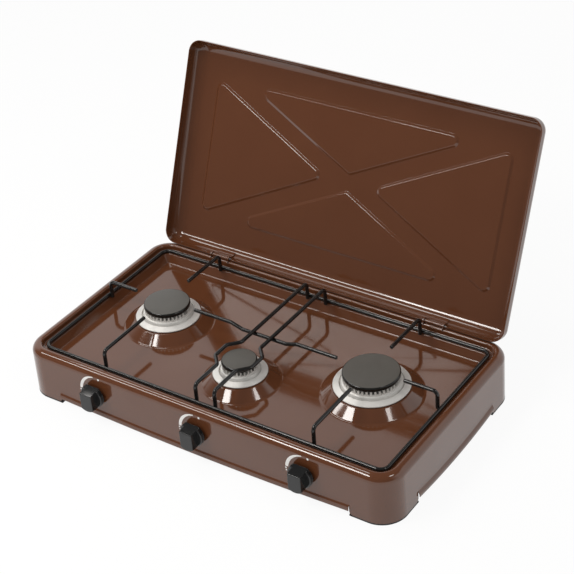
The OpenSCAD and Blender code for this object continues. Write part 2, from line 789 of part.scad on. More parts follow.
// Cast ring with a sloping skirt, a groove and a crown of flame slots
module burner_head(i) {
    r = cap_r(i);
    bore = r - crown_w - 0.5;
    color(cast) at_burner(i) translate([0, 0, seat_z]) difference() {
        rotate_extrude() polygon([
            [bore, -neck_len], [neck_r(i), -neck_len], [neck_r(i), 0],
            [skirt_r(i) - 0.4, 0], [skirt_r(i), 0.4], [skirt_r(i), 1.8], [skirt_r(i) - 0.8, 2.6],
            [r + 4.2, 5.2], [r + 3.6, 3.9], [r + 2.4, 3.9],
            [r + 1.4, crown_base], [r - 0.5, crown_base + 0.8], [r - 0.5, crown_h], [bore, crown_h]
        ]);
        for (k = [0:slot_count[i] - 1]) rotate(k * 360 / slot_count[i])
            translate([bore - 1, -slot_w / 2, slot_base]) cube([crown_w + 3, slot_w, crown_h]);
        for (side = [-1, 1]) translate([side * screw_ring_r(i), 0, -1])
            cylinder(d = burner_screw_d + 2 * run_gap, h = 1 + 3.4);
    }
}

module burner_screws() {
    head_h = 2;
    top = seat_z - sheet - flange_t;
    color(steel) for (i = [LEFT:RIGHT]) at_burner(i) for (side = [-1, 1])
        translate([side * screw_ring_r(i), 0, top]) {
            translate([0, 0, -head_h]) cylinder(d = 2 * burner_screw_d, h = head_h);
            translate([0, 0, -head_h / 2])
                cylinder(d = burner_screw_d, h = head_h / 2 + flange_t + sheet + 3);
        }
}

// Enamelled cap with a rounded edge and a centring ring inside the crown
module burner_cap(i) {
    r = cap_r(i);
    low = crown_h + seat_gap;
    top = low + cap_h;
    edge = 2.2;
    dome = 0.6;
    ring = r - crown_w - 0.5 - 0.4;
    color(black) at_burner(i) translate([0, 0, seat_z]) rotate_extrude() polygon(concat(
        [[0, top]],
        [for (k = [1:4]) [(r - edge) * k / 4, top - dome * k * k / 16]],
        arc([r - edge, top - dome - edge], edge, 72, 0, 4),
        [[r, low + 0.8], [r - 0.8, low], [ring, low], [ring, low - 3]],
        [[ring - 2, low - 3], [ring - 2, top - 3.2], [0, top - 3]]
    ));
}

// Pan support

module support_ring() {
    color(black) placed() around(spine_x, spine_y) translate([ring_u, ring_z]) circle(d = wire_d);
}

// Lowest point of a leg, beside the ring that it is welded to
leg_low = ring_z - wire_d / 2;
leg_x = spine_x + ring_u - wire_d - weld_gap;
leg_y = spine_y + ring_u - wire_d - weld_gap;
cross_y = (burner_y[LEFT] + burner_y[RIGHT]) / 2 - 2.5;
dip_z = bar_z - wire_d - weld_gap;
dip_run = 17;

module fork_bar(side) {
    wide = side * fork_bulge;
    near = side * fork_half;
    slant = fork_bulge - fork_half + 1;
    front = burner_y[MIDDLE] - fork_open / 2;
    rear = burner_y[MIDDLE] + fork_open / 2;
    color(black) placed() bent_wire([
        [near, -leg_y, leg_low], [near, -leg_y, bar_z], [near, front - slant, bar_z], [wide, front, bar_z],
        [wide, rear, bar_z], [near, rear + slant, bar_z], [near, leg_y, bar_z], [near, leg_y, leg_low]
    ], leg_bend, wire_d, [1, 0, 0]);
}

module cross_bar() {
    left = burner_x[LEFT] + bar_reach;
    right = burner_x[RIGHT] - bar_reach;
    dip = fork_half + dip_run + 2;
    color(black) placed() bent_wire([
        [left, cross_y, bar_z], [-dip - dip_run, cross_y, bar_z], [-dip, cross_y, dip_z],
        [dip, cross_y, dip_z], [dip + dip_run, cross_y, bar_z], [right, cross_y, bar_z]
    ], leg_bend, wire_d, [0, 1, 0]);
}

// Prong with its leg at the front or rear of the ring, or at its side
module prong_deep(i, way) {
    x = burner_x[i];
    color(black) placed() wire_run([
        [x, way * leg_y, leg_low], [x, way * leg_y, bar_z], [x, burner_y[i] + way * bar_reach, bar_z]
    ], leg_bend, wire_d);
}

module prong_wide(i, way) {
    y = cross_y;
    color(black) placed() wire_run([
        [way * leg_x, y, leg_low], [way * leg_x, y, bar_z], [burner_x[i] + way * bar_reach, y, bar_z]
    ], leg_bend, wire_d);
}

// Lid

// Section of the lid's border, t inside its skin
function lid_skin(t) = concat(
    [[border_r - t, lid_edge_z]],
    arc([0, lid_top - border_r], border_r - t, 0, 90, 9)
);

// Corners of the four pressed panels: left, right, front and rear, each a triangle
panel_x = lid_w / 2 - 40;
panel_front = -lid_d / 2 + 46;
panel_rear = lid_d / 2 - 46;
tip = cross_w / 2;
panels = [
    [[-panel_x, panel_front + 2], [-tip - 24, 0], [-panel_x, panel_rear - 2]],
    [[panel_x, panel_rear - 2], [tip + 24, 0], [panel_x, panel_front + 2]],
    [[-panel_x + 50, panel_front], [panel_x - 50, panel_front], [0, -tip]],
    [[panel_x - 50, panel_rear], [-panel_x + 50, panel_rear], [0, tip]]
];

// Outline of a triangle with round corners, moved inwards by d
panel_r = 8;
function rounded(t, d) = [for (i = [0:2], k = [0:4]) let (
    p = t[i], a = unit(t[(i + 2) % 3] - p), b = unit(t[(i + 1) % 3] - p),
    half = acos(a * b) / 2, c = p + unit(a + b) * panel_r / sin(half),
    angle = atan2(a[0], -a[1]) + (180 - 2 * half) * k / 4
) c + (panel_r - d) * [cos(angle), sin(angle)]];

// Pressed panel from the sheet's face at height z down to its own depth
module pressed_panel(t, z, above) {
    wide = rounded(t, -above * 2);
    narrow = rounded(t, panel_depth * 2);
    n = len(wide);
    polyhedron(
        concat([for (p = wide) [p[0], p[1], z + above]], [for (p = narrow) [p[0], p[1], z - panel_depth]]),
        concat(
            [[for (i = [n - 1:-1:0]) i]],
            [for (i = [0:n - 1]) [i, (i + 1) % n, n + (i + 1) % n, n + i]],
            [[for (i = [0:n - 1]) n + i]]
        )
    );
}

module lid() {
    x = lid_w / 2 - border_r;
    y = lid_d / 2 - border_r;
    color(enamel) lid_open() difference() {
        union() {
            around(x, y) polygon(concat(lid_skin(0), reversed(lid_skin(sheet))));
            translate([-x, -y, lid_top - sheet]) cube([2 * x, 2 * y, sheet]);
            for (t = panels) pressed_panel(t, lid_top - sheet, 0);
        }
        for (t = panels) pressed_panel(t, lid_top, 1);
        for (side = [-1, 1]) translate([side * hinge_x - notch_half, y, lid_edge_z - 1])
            cube([2 * notch_half, border_r + 1, notch_h + 1]);
    }
}

// Leaf welded inside the lid's rear flange, with the knuckle that turns on the pin
module lid_leaf(side) {
    width = ear_gap - 1;
    middle = [lid_d / 2 - border_r, lid_top - border_r];
    outer = border_r - sheet - weld_gap;
    color(enamel) lid_open() translate([side * hinge_x - width / 2, 0, 0])
        rotate([90, 0, 90]) linear_extrude(width) difference() {
            union() {
                translate([pin_y, pin_z]) circle(r = knuckle_r);
                translate([middle[0] + outer - bracket_t, pin_z]) square([bracket_t, middle[1] - pin_z]);
                translate(middle) intersection() {
                    difference() {
                        circle(r = outer);
                        circle(r = outer - bracket_t);
                    }
                    polygon([[0, 0], [2 * outer, 0], 2 * outer * [cos(leaf_angle), sin(leaf_angle)]]);
                }
            }
            translate([pin_y, pin_z]) circle(d = pin_d + 2 * run_gap);
        }
}

body_shell();
foot_pad(-1, -1);  // foot_pad_front_left
foot_pad(1, -1);  // foot_pad_front_right
foot_pad(-1, 1);  // foot_pad_rear_left
foot_pad(1, 1);  // foot_pad_rear_right
hinge_bracket(-1);  // hinge_bracket_left
hinge_bracket(1);  // hinge_bracket_right
hinge_pin(-1);  // hinge_pin_left
hinge_pin(1);  // hinge_pin_right
hinge_screws();
gas_manifold();
manifold_plug();
manifold_clip(-1);  // manifold_clip_left
manifold_clip(1);  // manifold_clip_right
inlet_pipe();
hose_nozzle();
inlet_nut();
valve_body(LEFT);  // valve_body_left
valve_body(MIDDLE);  // valve_body_middle
valve_body(RIGHT);  // valve_body_right
gland_nuts();
jet(LEFT);  // jet_left
jet(MIDDLE);  // jet_middle
jet(RIGHT);  // jet_right
burner_cup(LEFT);  // burner_cup_left
burner_cup(MIDDLE);  // burner_cup_middle
burner_cup(RIGHT);  // burner_cup_right
burner_screws();
burner_head(LEFT);  // burner_head_left
burner_head(MIDDLE);  // burner_head_middle
burner_head(RIGHT);  // burner_head_right
burner_cap(LEFT);  // burner_cap_left
burner_cap(MIDDLE);  // burner_cap_middle
burner_cap(RIGHT);  // burner_cap_right
valve_plug(LEFT);  // valve_plug_left
valve_plug(MIDDLE);  // valve_plug_middle
valve_plug(RIGHT);  // valve_plug_right
stem(LEFT);  // stem_left
stem(MIDDLE);  // stem_middle
stem(RIGHT);  // stem_right
knob(LEFT);  // knob_left
knob(MIDDLE);  // knob_middle
knob(RIGHT);  // knob_right
support_ring();
fork_bar(-1);  // fork_bar_left
fork_bar(1);  // fork_bar_right
cross_bar();
prong_deep(LEFT, -1);  // prong_left_front
prong_wide(LEFT, -1);  // prong_left_side
prong_deep(LEFT, 1);  // prong_left_rear
prong_deep(RIGHT, -1);  // prong_right_front
prong_wide(RIGHT, 1);  // prong_right_side
prong_deep(RIGHT, 1);  // prong_right_rear
lid();
lid_leaf(-1);  // lid_leaf_left
lid_leaf(1);  // lid_leaf_right
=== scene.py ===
# %% [markdown]
# # A three-burner tabletop gas stove
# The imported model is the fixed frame: every piece of the stove is already in it at its real size.
# This lesson gives the stove its looks. The pressed enamel sheets, the bent wires, the castings and
# the knobs are modelled again with smooth curves, and every surface gets a finish made of nodes.

# %% Load the frame
import json
import math

import bmesh
import bpy
from mathutils import Matrix, Quaternion, Vector

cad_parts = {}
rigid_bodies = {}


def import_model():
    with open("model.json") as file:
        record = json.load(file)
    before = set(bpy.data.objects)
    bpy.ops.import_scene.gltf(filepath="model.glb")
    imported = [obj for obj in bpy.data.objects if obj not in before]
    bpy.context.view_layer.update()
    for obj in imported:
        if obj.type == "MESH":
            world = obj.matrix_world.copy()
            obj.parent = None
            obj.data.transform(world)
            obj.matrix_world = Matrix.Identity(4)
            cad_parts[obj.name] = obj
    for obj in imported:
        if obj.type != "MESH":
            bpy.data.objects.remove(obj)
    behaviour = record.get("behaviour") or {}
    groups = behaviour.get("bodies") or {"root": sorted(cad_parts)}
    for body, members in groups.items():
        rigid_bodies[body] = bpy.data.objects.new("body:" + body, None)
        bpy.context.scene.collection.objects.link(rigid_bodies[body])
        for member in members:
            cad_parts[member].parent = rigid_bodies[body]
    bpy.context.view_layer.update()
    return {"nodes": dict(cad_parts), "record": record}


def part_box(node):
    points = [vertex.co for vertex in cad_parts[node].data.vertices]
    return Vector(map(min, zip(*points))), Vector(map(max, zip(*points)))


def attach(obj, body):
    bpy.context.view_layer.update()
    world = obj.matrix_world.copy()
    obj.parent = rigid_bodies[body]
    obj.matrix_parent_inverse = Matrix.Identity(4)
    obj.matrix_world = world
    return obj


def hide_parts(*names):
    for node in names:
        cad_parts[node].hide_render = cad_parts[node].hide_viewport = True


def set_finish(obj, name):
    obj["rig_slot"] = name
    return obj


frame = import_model()
nodes = frame["nodes"]

# %% [markdown]
# ## Camera
# Sizes are easier to read in millimetres from the middle of the body, so `spot` turns them into the
# frame's metres. The camera stands to the right of the front and looks down on the tray, through a
# fairly long lens. It is tilted a little to one side, as a camera held by hand is.

# %% Camera
MM = 0.001
body_low, body_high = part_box("body_shell")
MIDDLE = Vector((0, (body_low.y + body_high.y) / 2, 0))
AZIMUTH, ELEVATION, ROLL = (math.radians(a) for a in (36.28, 33.86, -4.68))
DISTANCE = 2.0323
LENS, SENSOR = 99.2, 36


def spot(x, y, z):
    """A place in millimetres from the middle of the body, as a place in the frame."""
    return Vector((x, y, z)) * MM + MIDDLE


aim = spot(-19.7, 87, 100)
back = Vector((
    math.sin(AZIMUTH) * math.cos(ELEVATION),
    -math.cos(AZIMUTH) * math.cos(ELEVATION),
    math.sin(ELEVATION),
))
level = Vector((math.cos(AZIMUTH), math.sin(AZIMUTH), 0))
upright = back.cross(level)
right = level * math.cos(ROLL) + upright * math.sin(ROLL)
up = upright * math.cos(ROLL) - level * math.sin(ROLL)
bpy.ops.object.select_all(action="DESELECT")
bpy.ops.object.camera_add(
    location=aim + back * DISTANCE,
    rotation=Matrix((right, up, back)).transposed().to_euler(),
)
camera = bpy.context.object
camera.data.lens = LENS
camera.data.sensor_width = SENSOR
bpy.context.scene.camera = camera
print("camera at", [round(v, 3) for v in camera.location])

# %% [markdown]
# ## Tools for modelling
# Sheet metal and wire are easy to draw as a section that is carried along a path. A chain of edges is
# drawn by extruding one vertex from point to point. Extruding the chain makes a straight side, and
# spinning it makes a corner or a whole round. These few helpers hold the steps that come back.

# %% Tools for drawing
# Points that are closer than this are one point.
DOUBLE = 0.02 * MM


def object_mode():
    """Leave edit mode, with nothing selected."""
    if bpy.context.mode != "OBJECT":
        bpy.ops.object.mode_set(mode="OBJECT")
    bpy.ops.object.select_all(action="DESELECT")


def start(name):
    """An empty mesh at the origin, open in edit mode."""
    object_mode()
    bpy.ops.mesh.primitive_plane_add(location=(0, 0, 0))
    piece = bpy.context.object
    piece.name = name
    piece.data.name = name
    bpy.ops.object.mode_set(mode="EDIT")
    bpy.ops.mesh.delete(type="VERT")
    return piece


def carry(move):
    """Extrude what is selected along a straight move."""
    bpy.ops.mesh.extrude_region_move(TRANSFORM_OT_translate={"value": move})


def draw(points):
    """A chain of edges through points, left selected."""
    bpy.ops.mesh.select_mode(type="VERT")
    bpy.ops.mesh.primitive_plane_add(size=MM, location=points[0])
    bpy.ops.mesh.merge(type="CENTER")
    for before, after in zip(points, points[1:]):
        carry(after - before)
    bpy.ops.mesh.select_linked()


def outline(points):
    """A closed chain of edges through points, left selected."""
    draw(points + points[:1])
    bpy.ops.mesh.remove_doubles(threshold=DOUBLE)


def turn(centre, axis, degrees, steps):
    """Spin what is selected, counter-clockwise about the axis."""
    bpy.ops.mesh.spin(
        steps=steps, angle=math.radians(degrees), center=centre, axis=-Vector(axis)
    )


def block(place, size):
    """A box in the open mesh, of a size in millimetres."""
    bpy.ops.mesh.primitive_cube_add(size=MM, location=place)
    bpy.ops.transform.resize(value=size, center_override=place)


def arc(centre, radius, first, last, steps):
    """Points of an arc from one angle to another, in degrees."""
    angles = [math.radians(first + (last - first) * i / steps) for i in range(steps + 1)]
    return [
        (centre[0] + radius * math.cos(a), centre[1] + radius * math.sin(a)) for a in angles
    ]


print("drawing tools ready")

# %% [markdown]
# What is drawn has to be found again, welded and turned the right way out. Selecting by hand would mean
# clicking, so `pick` selects by a test on each vertex, edge or face.

# %% Tools for picking and welding
# Millimetres within which a place counts as found.
NEAR = 0.01


def pick(kind, test):
    """Select the vertices, edges or faces of the open mesh that pass a test."""
    bpy.ops.mesh.select_mode(type=kind)
    bpy.ops.mesh.select_all(action="DESELECT")
    data = bpy.context.object.data
    mesh = bmesh.from_edit_mesh(data)
    parts = {"VERT": mesh.verts, "EDGE": mesh.edges, "FACE": mesh.faces}[kind]
    for part in parts:
        if test(part):
            part.select_set(True)
    bmesh.update_edit_mesh(data)


def centre_of(edge):
    """The middle of an edge."""
    return (edge.verts[0].co + edge.verts[1].co) / 2


def open_at(z):
    """A test for the open edges at a height in millimetres."""
    return lambda edge: edge.is_boundary and abs(centre_of(edge).z / MM - z) < NEAR


def weld():
    """Merge doubled points and turn all faces the same way, outwards."""
    bpy.ops.mesh.select_mode(type="VERT")
    bpy.ops.mesh.select_all(action="SELECT")
    bpy.ops.mesh.remove_doubles(threshold=DOUBLE)
    bpy.ops.mesh.normals_make_consistent(inside=False)


def face_up():
    """Turn the open sheet over if most of it faces down."""
    faces = bmesh.from_edit_mesh(bpy.context.object.data).faces
    if sum(face.normal.z * face.calc_area() for face in faces) < 0:
        bpy.ops.mesh.select_all(action="SELECT")
        bpy.ops.mesh.flip_normals()


print("picking tools ready")

# %% [markdown]
# A drawn piece is finished by modifiers that are applied at once: a thickness, a cut, a union. At the end
# it is shaded smooth, except at its sharp edges, and put on the body that carries it.

# %% Tools for finishing a piece
SHEET = 1


def single_out(piece):
    """Make the piece the only one that is selected."""
    object_mode()
    bpy.context.view_layer.objects.active = piece
    piece.select_set(True)


def modify(piece, kind, **settings):
    """Add a modifier to the piece and apply it."""
    single_out(piece)
    modifier = piece.modifiers.new(kind.title(), kind)
    for key, value in settings.items():
        setattr(modifier, key, value)
    bpy.ops.object.modifier_apply(modifier=modifier.name)


def thicken(piece):
    """Give a drawn surface the thickness of the sheet, on its inside."""
    modify(piece, "SOLIDIFY", thickness=SHEET * MM, offset=-1, use_even_offset=True)


def combine(piece, other, operation):
    """Cut another mesh out of the piece or join it to the piece, and remove the other."""
    modify(piece, "BOOLEAN", object=other, operation=operation, solver="EXACT")
    bpy.data.objects.remove(other)


def finished(piece, body, slot, *stands_for, angle=35):
    """Smooth the piece, keep its flats flat, and put it on its body."""
    single_out(piece)
    bpy.ops.object.shade_smooth_by_angle(angle=math.radians(angle))
    modify(piece, "WEIGHTED_NORMAL", keep_sharp=True, weight=50)
    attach(piece, body)
    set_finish(piece, slot)
    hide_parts(*stands_for)
    print(piece.name, len(piece.data.polygons), "faces")
    return piece


print("finishing tools ready")

# %% [markdown]
# ## Body
# The body is one pressed sheet: an outer wall with a round shoulder, a rolled rim, a ledge for the pan
# support, a bank and the sunk tray plate. Such a sheet could be cut out of a box with bevels, but its
# section is the same all round, so it is drawn once and carried round the four sides and corners.

# %% Section of the body
SPINE_X, SPINE_Y = 241, 117
FOOT_Z, WALL_END, PLATE_Z, LEDGE_Z, RIM_Z = 2, 22, 50, 61.7, 69.2
PLATE_R, LEDGE_R, RISE_R, RIM_R = 3, 2, 2.2, 3
FLAT_U, PLATE_U, LEDGE_U, RISE_U, RIM_U = 0.1, 0.358, 10, 16.253, 21.626
SHOULDER_R, SHOULDER_Z, SHOULDER_U = 9.874, 59.326, 22.126
WALL_U, WALL_LEAN = 32, math.radians(0.8)
WALL_ROWS = (44, WALL_END, 16, 9, FOOT_Z)


def wall_u(z):
    """How far the leaning outer wall stands outside the spine at a height."""
    return WALL_U + (SHOULDER_Z - z) * math.tan(WALL_LEAN)


body_section = [
    (FLAT_U, PLATE_Z),
    *arc((PLATE_U, PLATE_Z + PLATE_R), PLATE_R, -90, -30, 8),
    *arc((LEDGE_U, LEDGE_Z - LEDGE_R), LEDGE_R, 150, 90, 6),
    *arc((RISE_U, LEDGE_Z + RISE_R), RISE_R, -90, -4, 6),
    *arc((RIM_U, RIM_Z - RIM_R), RIM_R, 176, 90, 8),
    *arc((SHOULDER_U, SHOULDER_Z), SHOULDER_R, 90, 0, 14),
    *[(wall_u(z), z) for z in WALL_ROWS],
]
print("body section", len(body_section), "points")

# %% [markdown]
# Each side is extruded in steps, so that the wall has points at its feet and between them, and each
# corner is a spin by a quarter turn. The same round comes back for the lid and for the wire ring.

# %% Carry the section round the body
UP = Vector((0, 0, 1))
CORNER_STEPS = 14
FOOT_X, FOOT_Y = 216, 91
FRONT_STEPS, SIDE_STEPS = 40, 18


def even(half, steps):
    """Even places from one end of a side to the other."""
    return [half * (2 * i / steps - 1) for i in range(steps + 1)]


def carry_round(half_x, half_y, along_x, along_y):
    """Carry what is selected round four sides and corners, from the left end of the front."""
    for way, places, corner in (
        (Vector((1, 0, 0)), along_x, (1, -1)),
        (Vector((0, 1, 0)), along_y, (1, 1)),
        (Vector((-1, 0, 0)), along_x, (-1, 1)),
        (Vector((0, -1, 0)), along_y, (-1, -1)),
    ):
        for before, after in zip(places, places[1:]):
            carry(way * (after - before) * MM)
        turn(spot(corner[0] * half_x, corner[1] * half_y, 0), UP, 90, CORNER_STEPS)
    weld()


body = start("body_enamel")
draw([spot(-SPINE_X, -SPINE_Y - u, z) for u, z in body_section])
carry_round(
    SPINE_X,
    SPINE_Y,
    [-SPINE_X, *even(FOOT_X, FRONT_STEPS), SPINE_X],
    [-SPINE_Y, *even(FOOT_Y, SIDE_STEPS), SPINE_Y],
)
print("body section carried round")

# %% [markdown]
# Between its feet the wall ends in a flared lip that follows a shallow arc. The straight bit of wall
# below a line is taken away, the arc of the lip's crease is drawn as a chain, the chain is extruded
# down and out in small steps, and the gap between wall and crease is closed by a bridge.

# %% Lip between the feet
LIP = [(0, 0), (0.4, 0.9), (1.3, 2.5), (2, 4), (2.35, 5.6), (2.5, 7.4), (2.3, 8.5)]
EDGE_Z, EDGE_SAG = 8.5, 5
CREASE_U = wall_u(EDGE_Z - EDGE_SAG / 2 + LIP[-1][1])
INSIDE_WALL = 20
ON_LINE = 0.1


def crease_z(x, half):
    """Height of the lip's crease at a place along a wall whose feet are half away from its middle."""
    radius = (half**2 + EDGE_SAG**2) / (2 * EDGE_SAG)
    return EDGE_Z - EDGE_SAG + LIP[-1][1] + radius - math.sqrt(radius**2 - x**2)


def below_wall(face):
    """Whether a face belongs to the low wall between two feet."""
    middle = (face.calc_center_median() - MIDDLE) / MM
    on_long_side = abs(middle.y) > SPINE_Y + INSIDE_WALL
    between = abs(middle.x) < FOOT_X if on_long_side else abs(middle.y) < FOOT_Y
    return middle.z < WALL_END and between


def at_gap(quarter, half, reach):
    """A test for the open edges above and below the gap in a wall."""

    def test(edge):
        here = quarter.inverted() @ (centre_of(edge) - MIDDLE) / MM
        at_wall = abs(here.z - WALL_END) < ON_LINE
        at_depth = abs(here.y + reach + CREASE_U) < ON_LINE
        at_crease = at_depth and abs(here.z - crease_z(here.x, half)) < ON_LINE
        between = here.y < -reach and abs(here.x) < half
        return edge.is_boundary and between and (at_wall or at_crease)

    return test


pick("FACE", below_wall)
bpy.ops.mesh.delete(type="FACE")
long_side, short_side = (FOOT_X, FRONT_STEPS, SPINE_Y), (FOOT_Y, SIDE_STEPS, SPINE_X)
for side, (half, steps, reach) in enumerate((long_side, short_side) * 2):
    quarter = Matrix.Rotation(math.radians(90 * side), 3, "Z")
    crease = [Vector((x, -reach - CREASE_U, crease_z(x, half))) for x in even(half, steps)]
    draw([quarter @ (place * MM) + MIDDLE for place in crease])
    for before, after in zip(LIP, LIP[1:]):
        out, down = after[0] - before[0], after[1] - before[1]
        carry(quarter @ Vector((0, -out, -down)) * MM)
    pick("EDGE", at_gap(quarter, half, reach))
    bpy.ops.mesh.bridge_edge_loops()
weld()
print("lips bridged to the walls")

# %% [markdown]
# Each burner sits on a cone that is pressed up out of the tray. A cone is round, so its section is
# spun about the burner's axis. The flat plate is then filled in between the tray's edge and the
# three rounds, which keeps it perfectly flat.

# %% Cones and tray plate
CAP_R = {"left": 30.5, "middle": 22.5, "right": 36}
BURNER = {"left": (-155, 6), "middle": (0, -51), "right": (155, 6)}
SEAT_Z = 62
CONE_SLOPE = 40
CONE_FOOT_R, CONE_EDGE_R = 6, 2.5
CONE_EDGE, SEAT_IN, PLATE_RUN = 12.5, 3, 2
slope = math.radians(CONE_SLOPE)
rounds = CONE_FOOT_R + CONE_EDGE_R
straight_h = SEAT_Z - PLATE_Z - rounds * (1 - math.cos(slope))
CONE_RUN = rounds * math.sin(slope) + straight_h / math.tan(slope)
ROUND_STEPS = 96

for name, (x, y) in BURNER.items():
    top = CAP_R[name] + CONE_EDGE
    cone = [
        (top + CONE_RUN + PLATE_RUN, PLATE_Z),
        *arc((top + CONE_RUN, PLATE_Z + CONE_FOOT_R), CONE_FOOT_R, -90, -90 - CONE_SLOPE, 8),
        *arc((top, SEAT_Z - CONE_EDGE_R), CONE_EDGE_R, 90 - CONE_SLOPE, 90, 6),
        (CAP_R[name] - SEAT_IN, SEAT_Z),
    ]
    draw([spot(x + r, y, z) for r, z in cone])
    turn(spot(x, y, 0), UP, 360, ROUND_STEPS)
weld()
pick("EDGE", open_at(PLATE_Z))
bpy.ops.mesh.fill(use_beauty=True)
weld()
face_up()
print("tray plate filled")

# %% [markdown]
# The feet end in rounded corners, and the sheet gets its millimetre of thickness on the inside. The
# holes for the stems, the gas inlet, the hinge ears and their screws are cut by one joined cutter.

# %% Feet and thickness
FOOT_ROUND = 5


def foot_corner(vert):
    """Whether a point is the lower corner of a foot."""
    here = (vert.co - MIDDLE) / MM
    at_end = abs(abs(here.x) - FOOT_X) < NEAR or abs(abs(here.y) - FOOT_Y) < NEAR
    return vert.is_boundary and abs(here.z - FOOT_Z) < NEAR and at_end


pick("VERT", foot_corner)
bpy.ops.mesh.bevel(offset=FOOT_ROUND * MM, segments=5, affect="VERTICES", clamp_overlap=True)
thicken(body)
print("sheet thickened to", len(body.data.polygons), "faces")

# %% Holes of the body
KNOB_Z = 38.5
INLET_X, INLET_Z = -225, 20.5
HINGE_X, PIN_Y, PIN_Z = 166, 140.2, 72
SCREW_X, SCREW_Z = 8, 46
EAR_X, EAR_SLOT = 14, (2.1, 8.6, 16)
STEM_HOLE_R, INLET_HOLE_R, SCREW_HOLE_R = 4.5, 6.2, 1.7
BORE_SIDES, BORE_LEN = 32, 10


def bore(x, y, z, radius):
    """A cutter along the depth of the stove."""
    bpy.ops.mesh.primitive_cylinder_add(
        vertices=BORE_SIDES,
        radius=radius * MM,
        depth=BORE_LEN * MM,
        location=spot(x, y, z),
        rotation=(math.pi / 2, 0, 0),
    )


cutter = start("cutter")
for x, _ in BURNER.values():
    bore(x, -SPINE_Y - wall_u(KNOB_Z), KNOB_Z, STEM_HOLE_R)
bore(INLET_X, SPINE_Y + wall_u(INLET_Z), INLET_Z, INLET_HOLE_R)
for side in (-1, 1):
    for ear in (-1, 1):
        bore(side * HINGE_X + ear * SCREW_X, SPINE_Y + wall_u(SCREW_Z), SCREW_Z, SCREW_HOLE_R)
        block(spot(side * HINGE_X + ear * EAR_X, PIN_Y, PIN_Z), EAR_SLOT)
combine(body, cutter, "DIFFERENCE")
finished(body, "stove_body", "enamel", "body_shell")

# %% [markdown]
# ## Lid
# The lid is a second pressing: a flange, a border with a wide round edge, and a flat panel that four
# shallow triangles stiffen. It is drawn shut, where all its edges are level, and swung open at the end.

# %% Lid border
LID_X, LID_Y = 244.5, 124
BORDER_R = 17
LID_EDGE_Z, LID_TOP = 70.2, 94.2
LID_STEPS = 8
lid = start("lid_enamel")
lid_section = [(BORDER_R, LID_EDGE_Z), *arc((0, LID_TOP - BORDER_R), BORDER_R, 0, 90, 16)]
draw([spot(-LID_X, -LID_Y - u, z) for u, z in lid_section])
carry_round(LID_X, LID_Y, even(LID_X, LID_STEPS), even(LID_Y, LID_STEPS))
print("lid border carried round")

# %% [markdown]
# The triangles could be sunk by an inset and a bevel, but their walls have a shape of their own. So each
# wall is a row of outlines with round corners, each a little smaller and lower, joined by bridges. A
# face closes the lowest outline, and the flat panel is filled in between the triangles and the border.

# %% Pressed triangles
PANEL_R = 8
PANEL_WALL = [(-1.2, 0), (-0.8, 0.06), (-0.3, 0.3), (0.8, 0.9), (1.9, 1.5), (2.4, 1.74), (2.8, 1.8)]
TRIANGLES = [
    [(-221.5, -93), (-35, 0), (-221.5, 93)],
    [(221.5, 93), (35, 0), (221.5, -93)],
    [(-171.5, -95), (171.5, -95), (0, -11)],
    [(171.5, 95), (-171.5, 95), (0, 11)],
]


def rounded(triangle, inset):
    """Outline of a triangle with round corners, moved inwards, as pairs in millimetres."""
    points = []
    for i in range(3):
        corner, last, following = (Vector(triangle[k % 3]) for k in (i, i + 2, i + 1))
        a, b = (last - corner).normalized(), (following - corner).normalized()
        half = a.angle(b) / 2
        middle = corner + (a + b).normalized() * PANEL_R / math.sin(half)
        first = math.degrees(math.atan2(a.x, -a.y))
        points += arc(middle, PANEL_R - inset, first, first + 180 - 2 * math.degrees(half), 6)
    return points


def to_grid(place):
    """A place to a hundredth of a millimetre, so that two places can be compared."""
    return tuple(round(c, 5) for c in place)


def along(*loops):
    """A test for the edges that run along one of the outlines."""
    places = {to_grid(p) for loop in loops for p in loop}
    return lambda edge: all(to_grid(v.co) in places for v in edge.verts)


for triangle in TRIANGLES:
    walls = [
        [spot(x, y, LID_TOP - depth) for x, y in rounded(triangle, inset)] for inset, depth in PANEL_WALL
    ]
    outline(walls[0])
    for outer, inner in zip(walls, walls[1:]):
        outline(inner)
        pick("EDGE", along(outer, inner))
        bpy.ops.mesh.bridge_edge_loops()
    pick("EDGE", along(walls[-1]))
    bpy.ops.mesh.edge_face_add()
pick("EDGE", open_at(LID_TOP))
bpy.ops.mesh.fill(use_beauty=True)
weld()
face_up()
print("lid panel filled")

# %% [markdown]
# The lid gets its thickness and a notch at each hinge, where the bracket stands when the lid is shut.
# Then it is swung about the hinge pins to its open place, so that its mesh lies where the frame has it.

# %% Thickness, hinge notches and swing
NOTCH, NOTCH_Y, NOTCH_Z = (33.5, 18, 7), LID_Y + 9, 73
OPEN = 112
thicken(lid)
cutter = start("cutter")
for side in (-1, 1):
    block(spot(side * HINGE_X, NOTCH_Y, NOTCH_Z), NOTCH)
combine(lid, cutter, "DIFFERENCE")
bpy.ops.object.mode_set(mode="EDIT")
bpy.ops.mesh.select_all(action="SELECT")
bpy.ops.transform.rotate(
    value=math.radians(OPEN), orient_axis="X", orient_type="GLOBAL", center_override=spot(0, PIN_Y, PIN_Z)
)
finished(lid, "lid", "enamel", "lid")
print("lid as modelled", [round(c, 3) for i in (0, 6) for c in lid.bound_box[i]])

# %% [markdown]
# ## Pan support
# The support is bent from black enamelled wire. A tube could be a curve with a bevel, but a circle that
# is extruded along the straight runs and spun round the bends gives even faces and closed ends, the way
# a bending machine feeds the wire.

# %% How a wire is bent
WIRE_R, WIRE_SIDES = 2.5, 20
BEND, BEND_STEPS, LEAST_STEPS = 6, 7, 4
TIP_ROUND = 0.9


def wire_section(place, rotation):
    """The round outline of a wire, with a place and a rotation."""
    bpy.ops.mesh.primitive_circle_add(
        vertices=WIRE_SIDES, radius=WIRE_R * MM, fill_type="NOTHING", location=place, rotation=rotation
    )


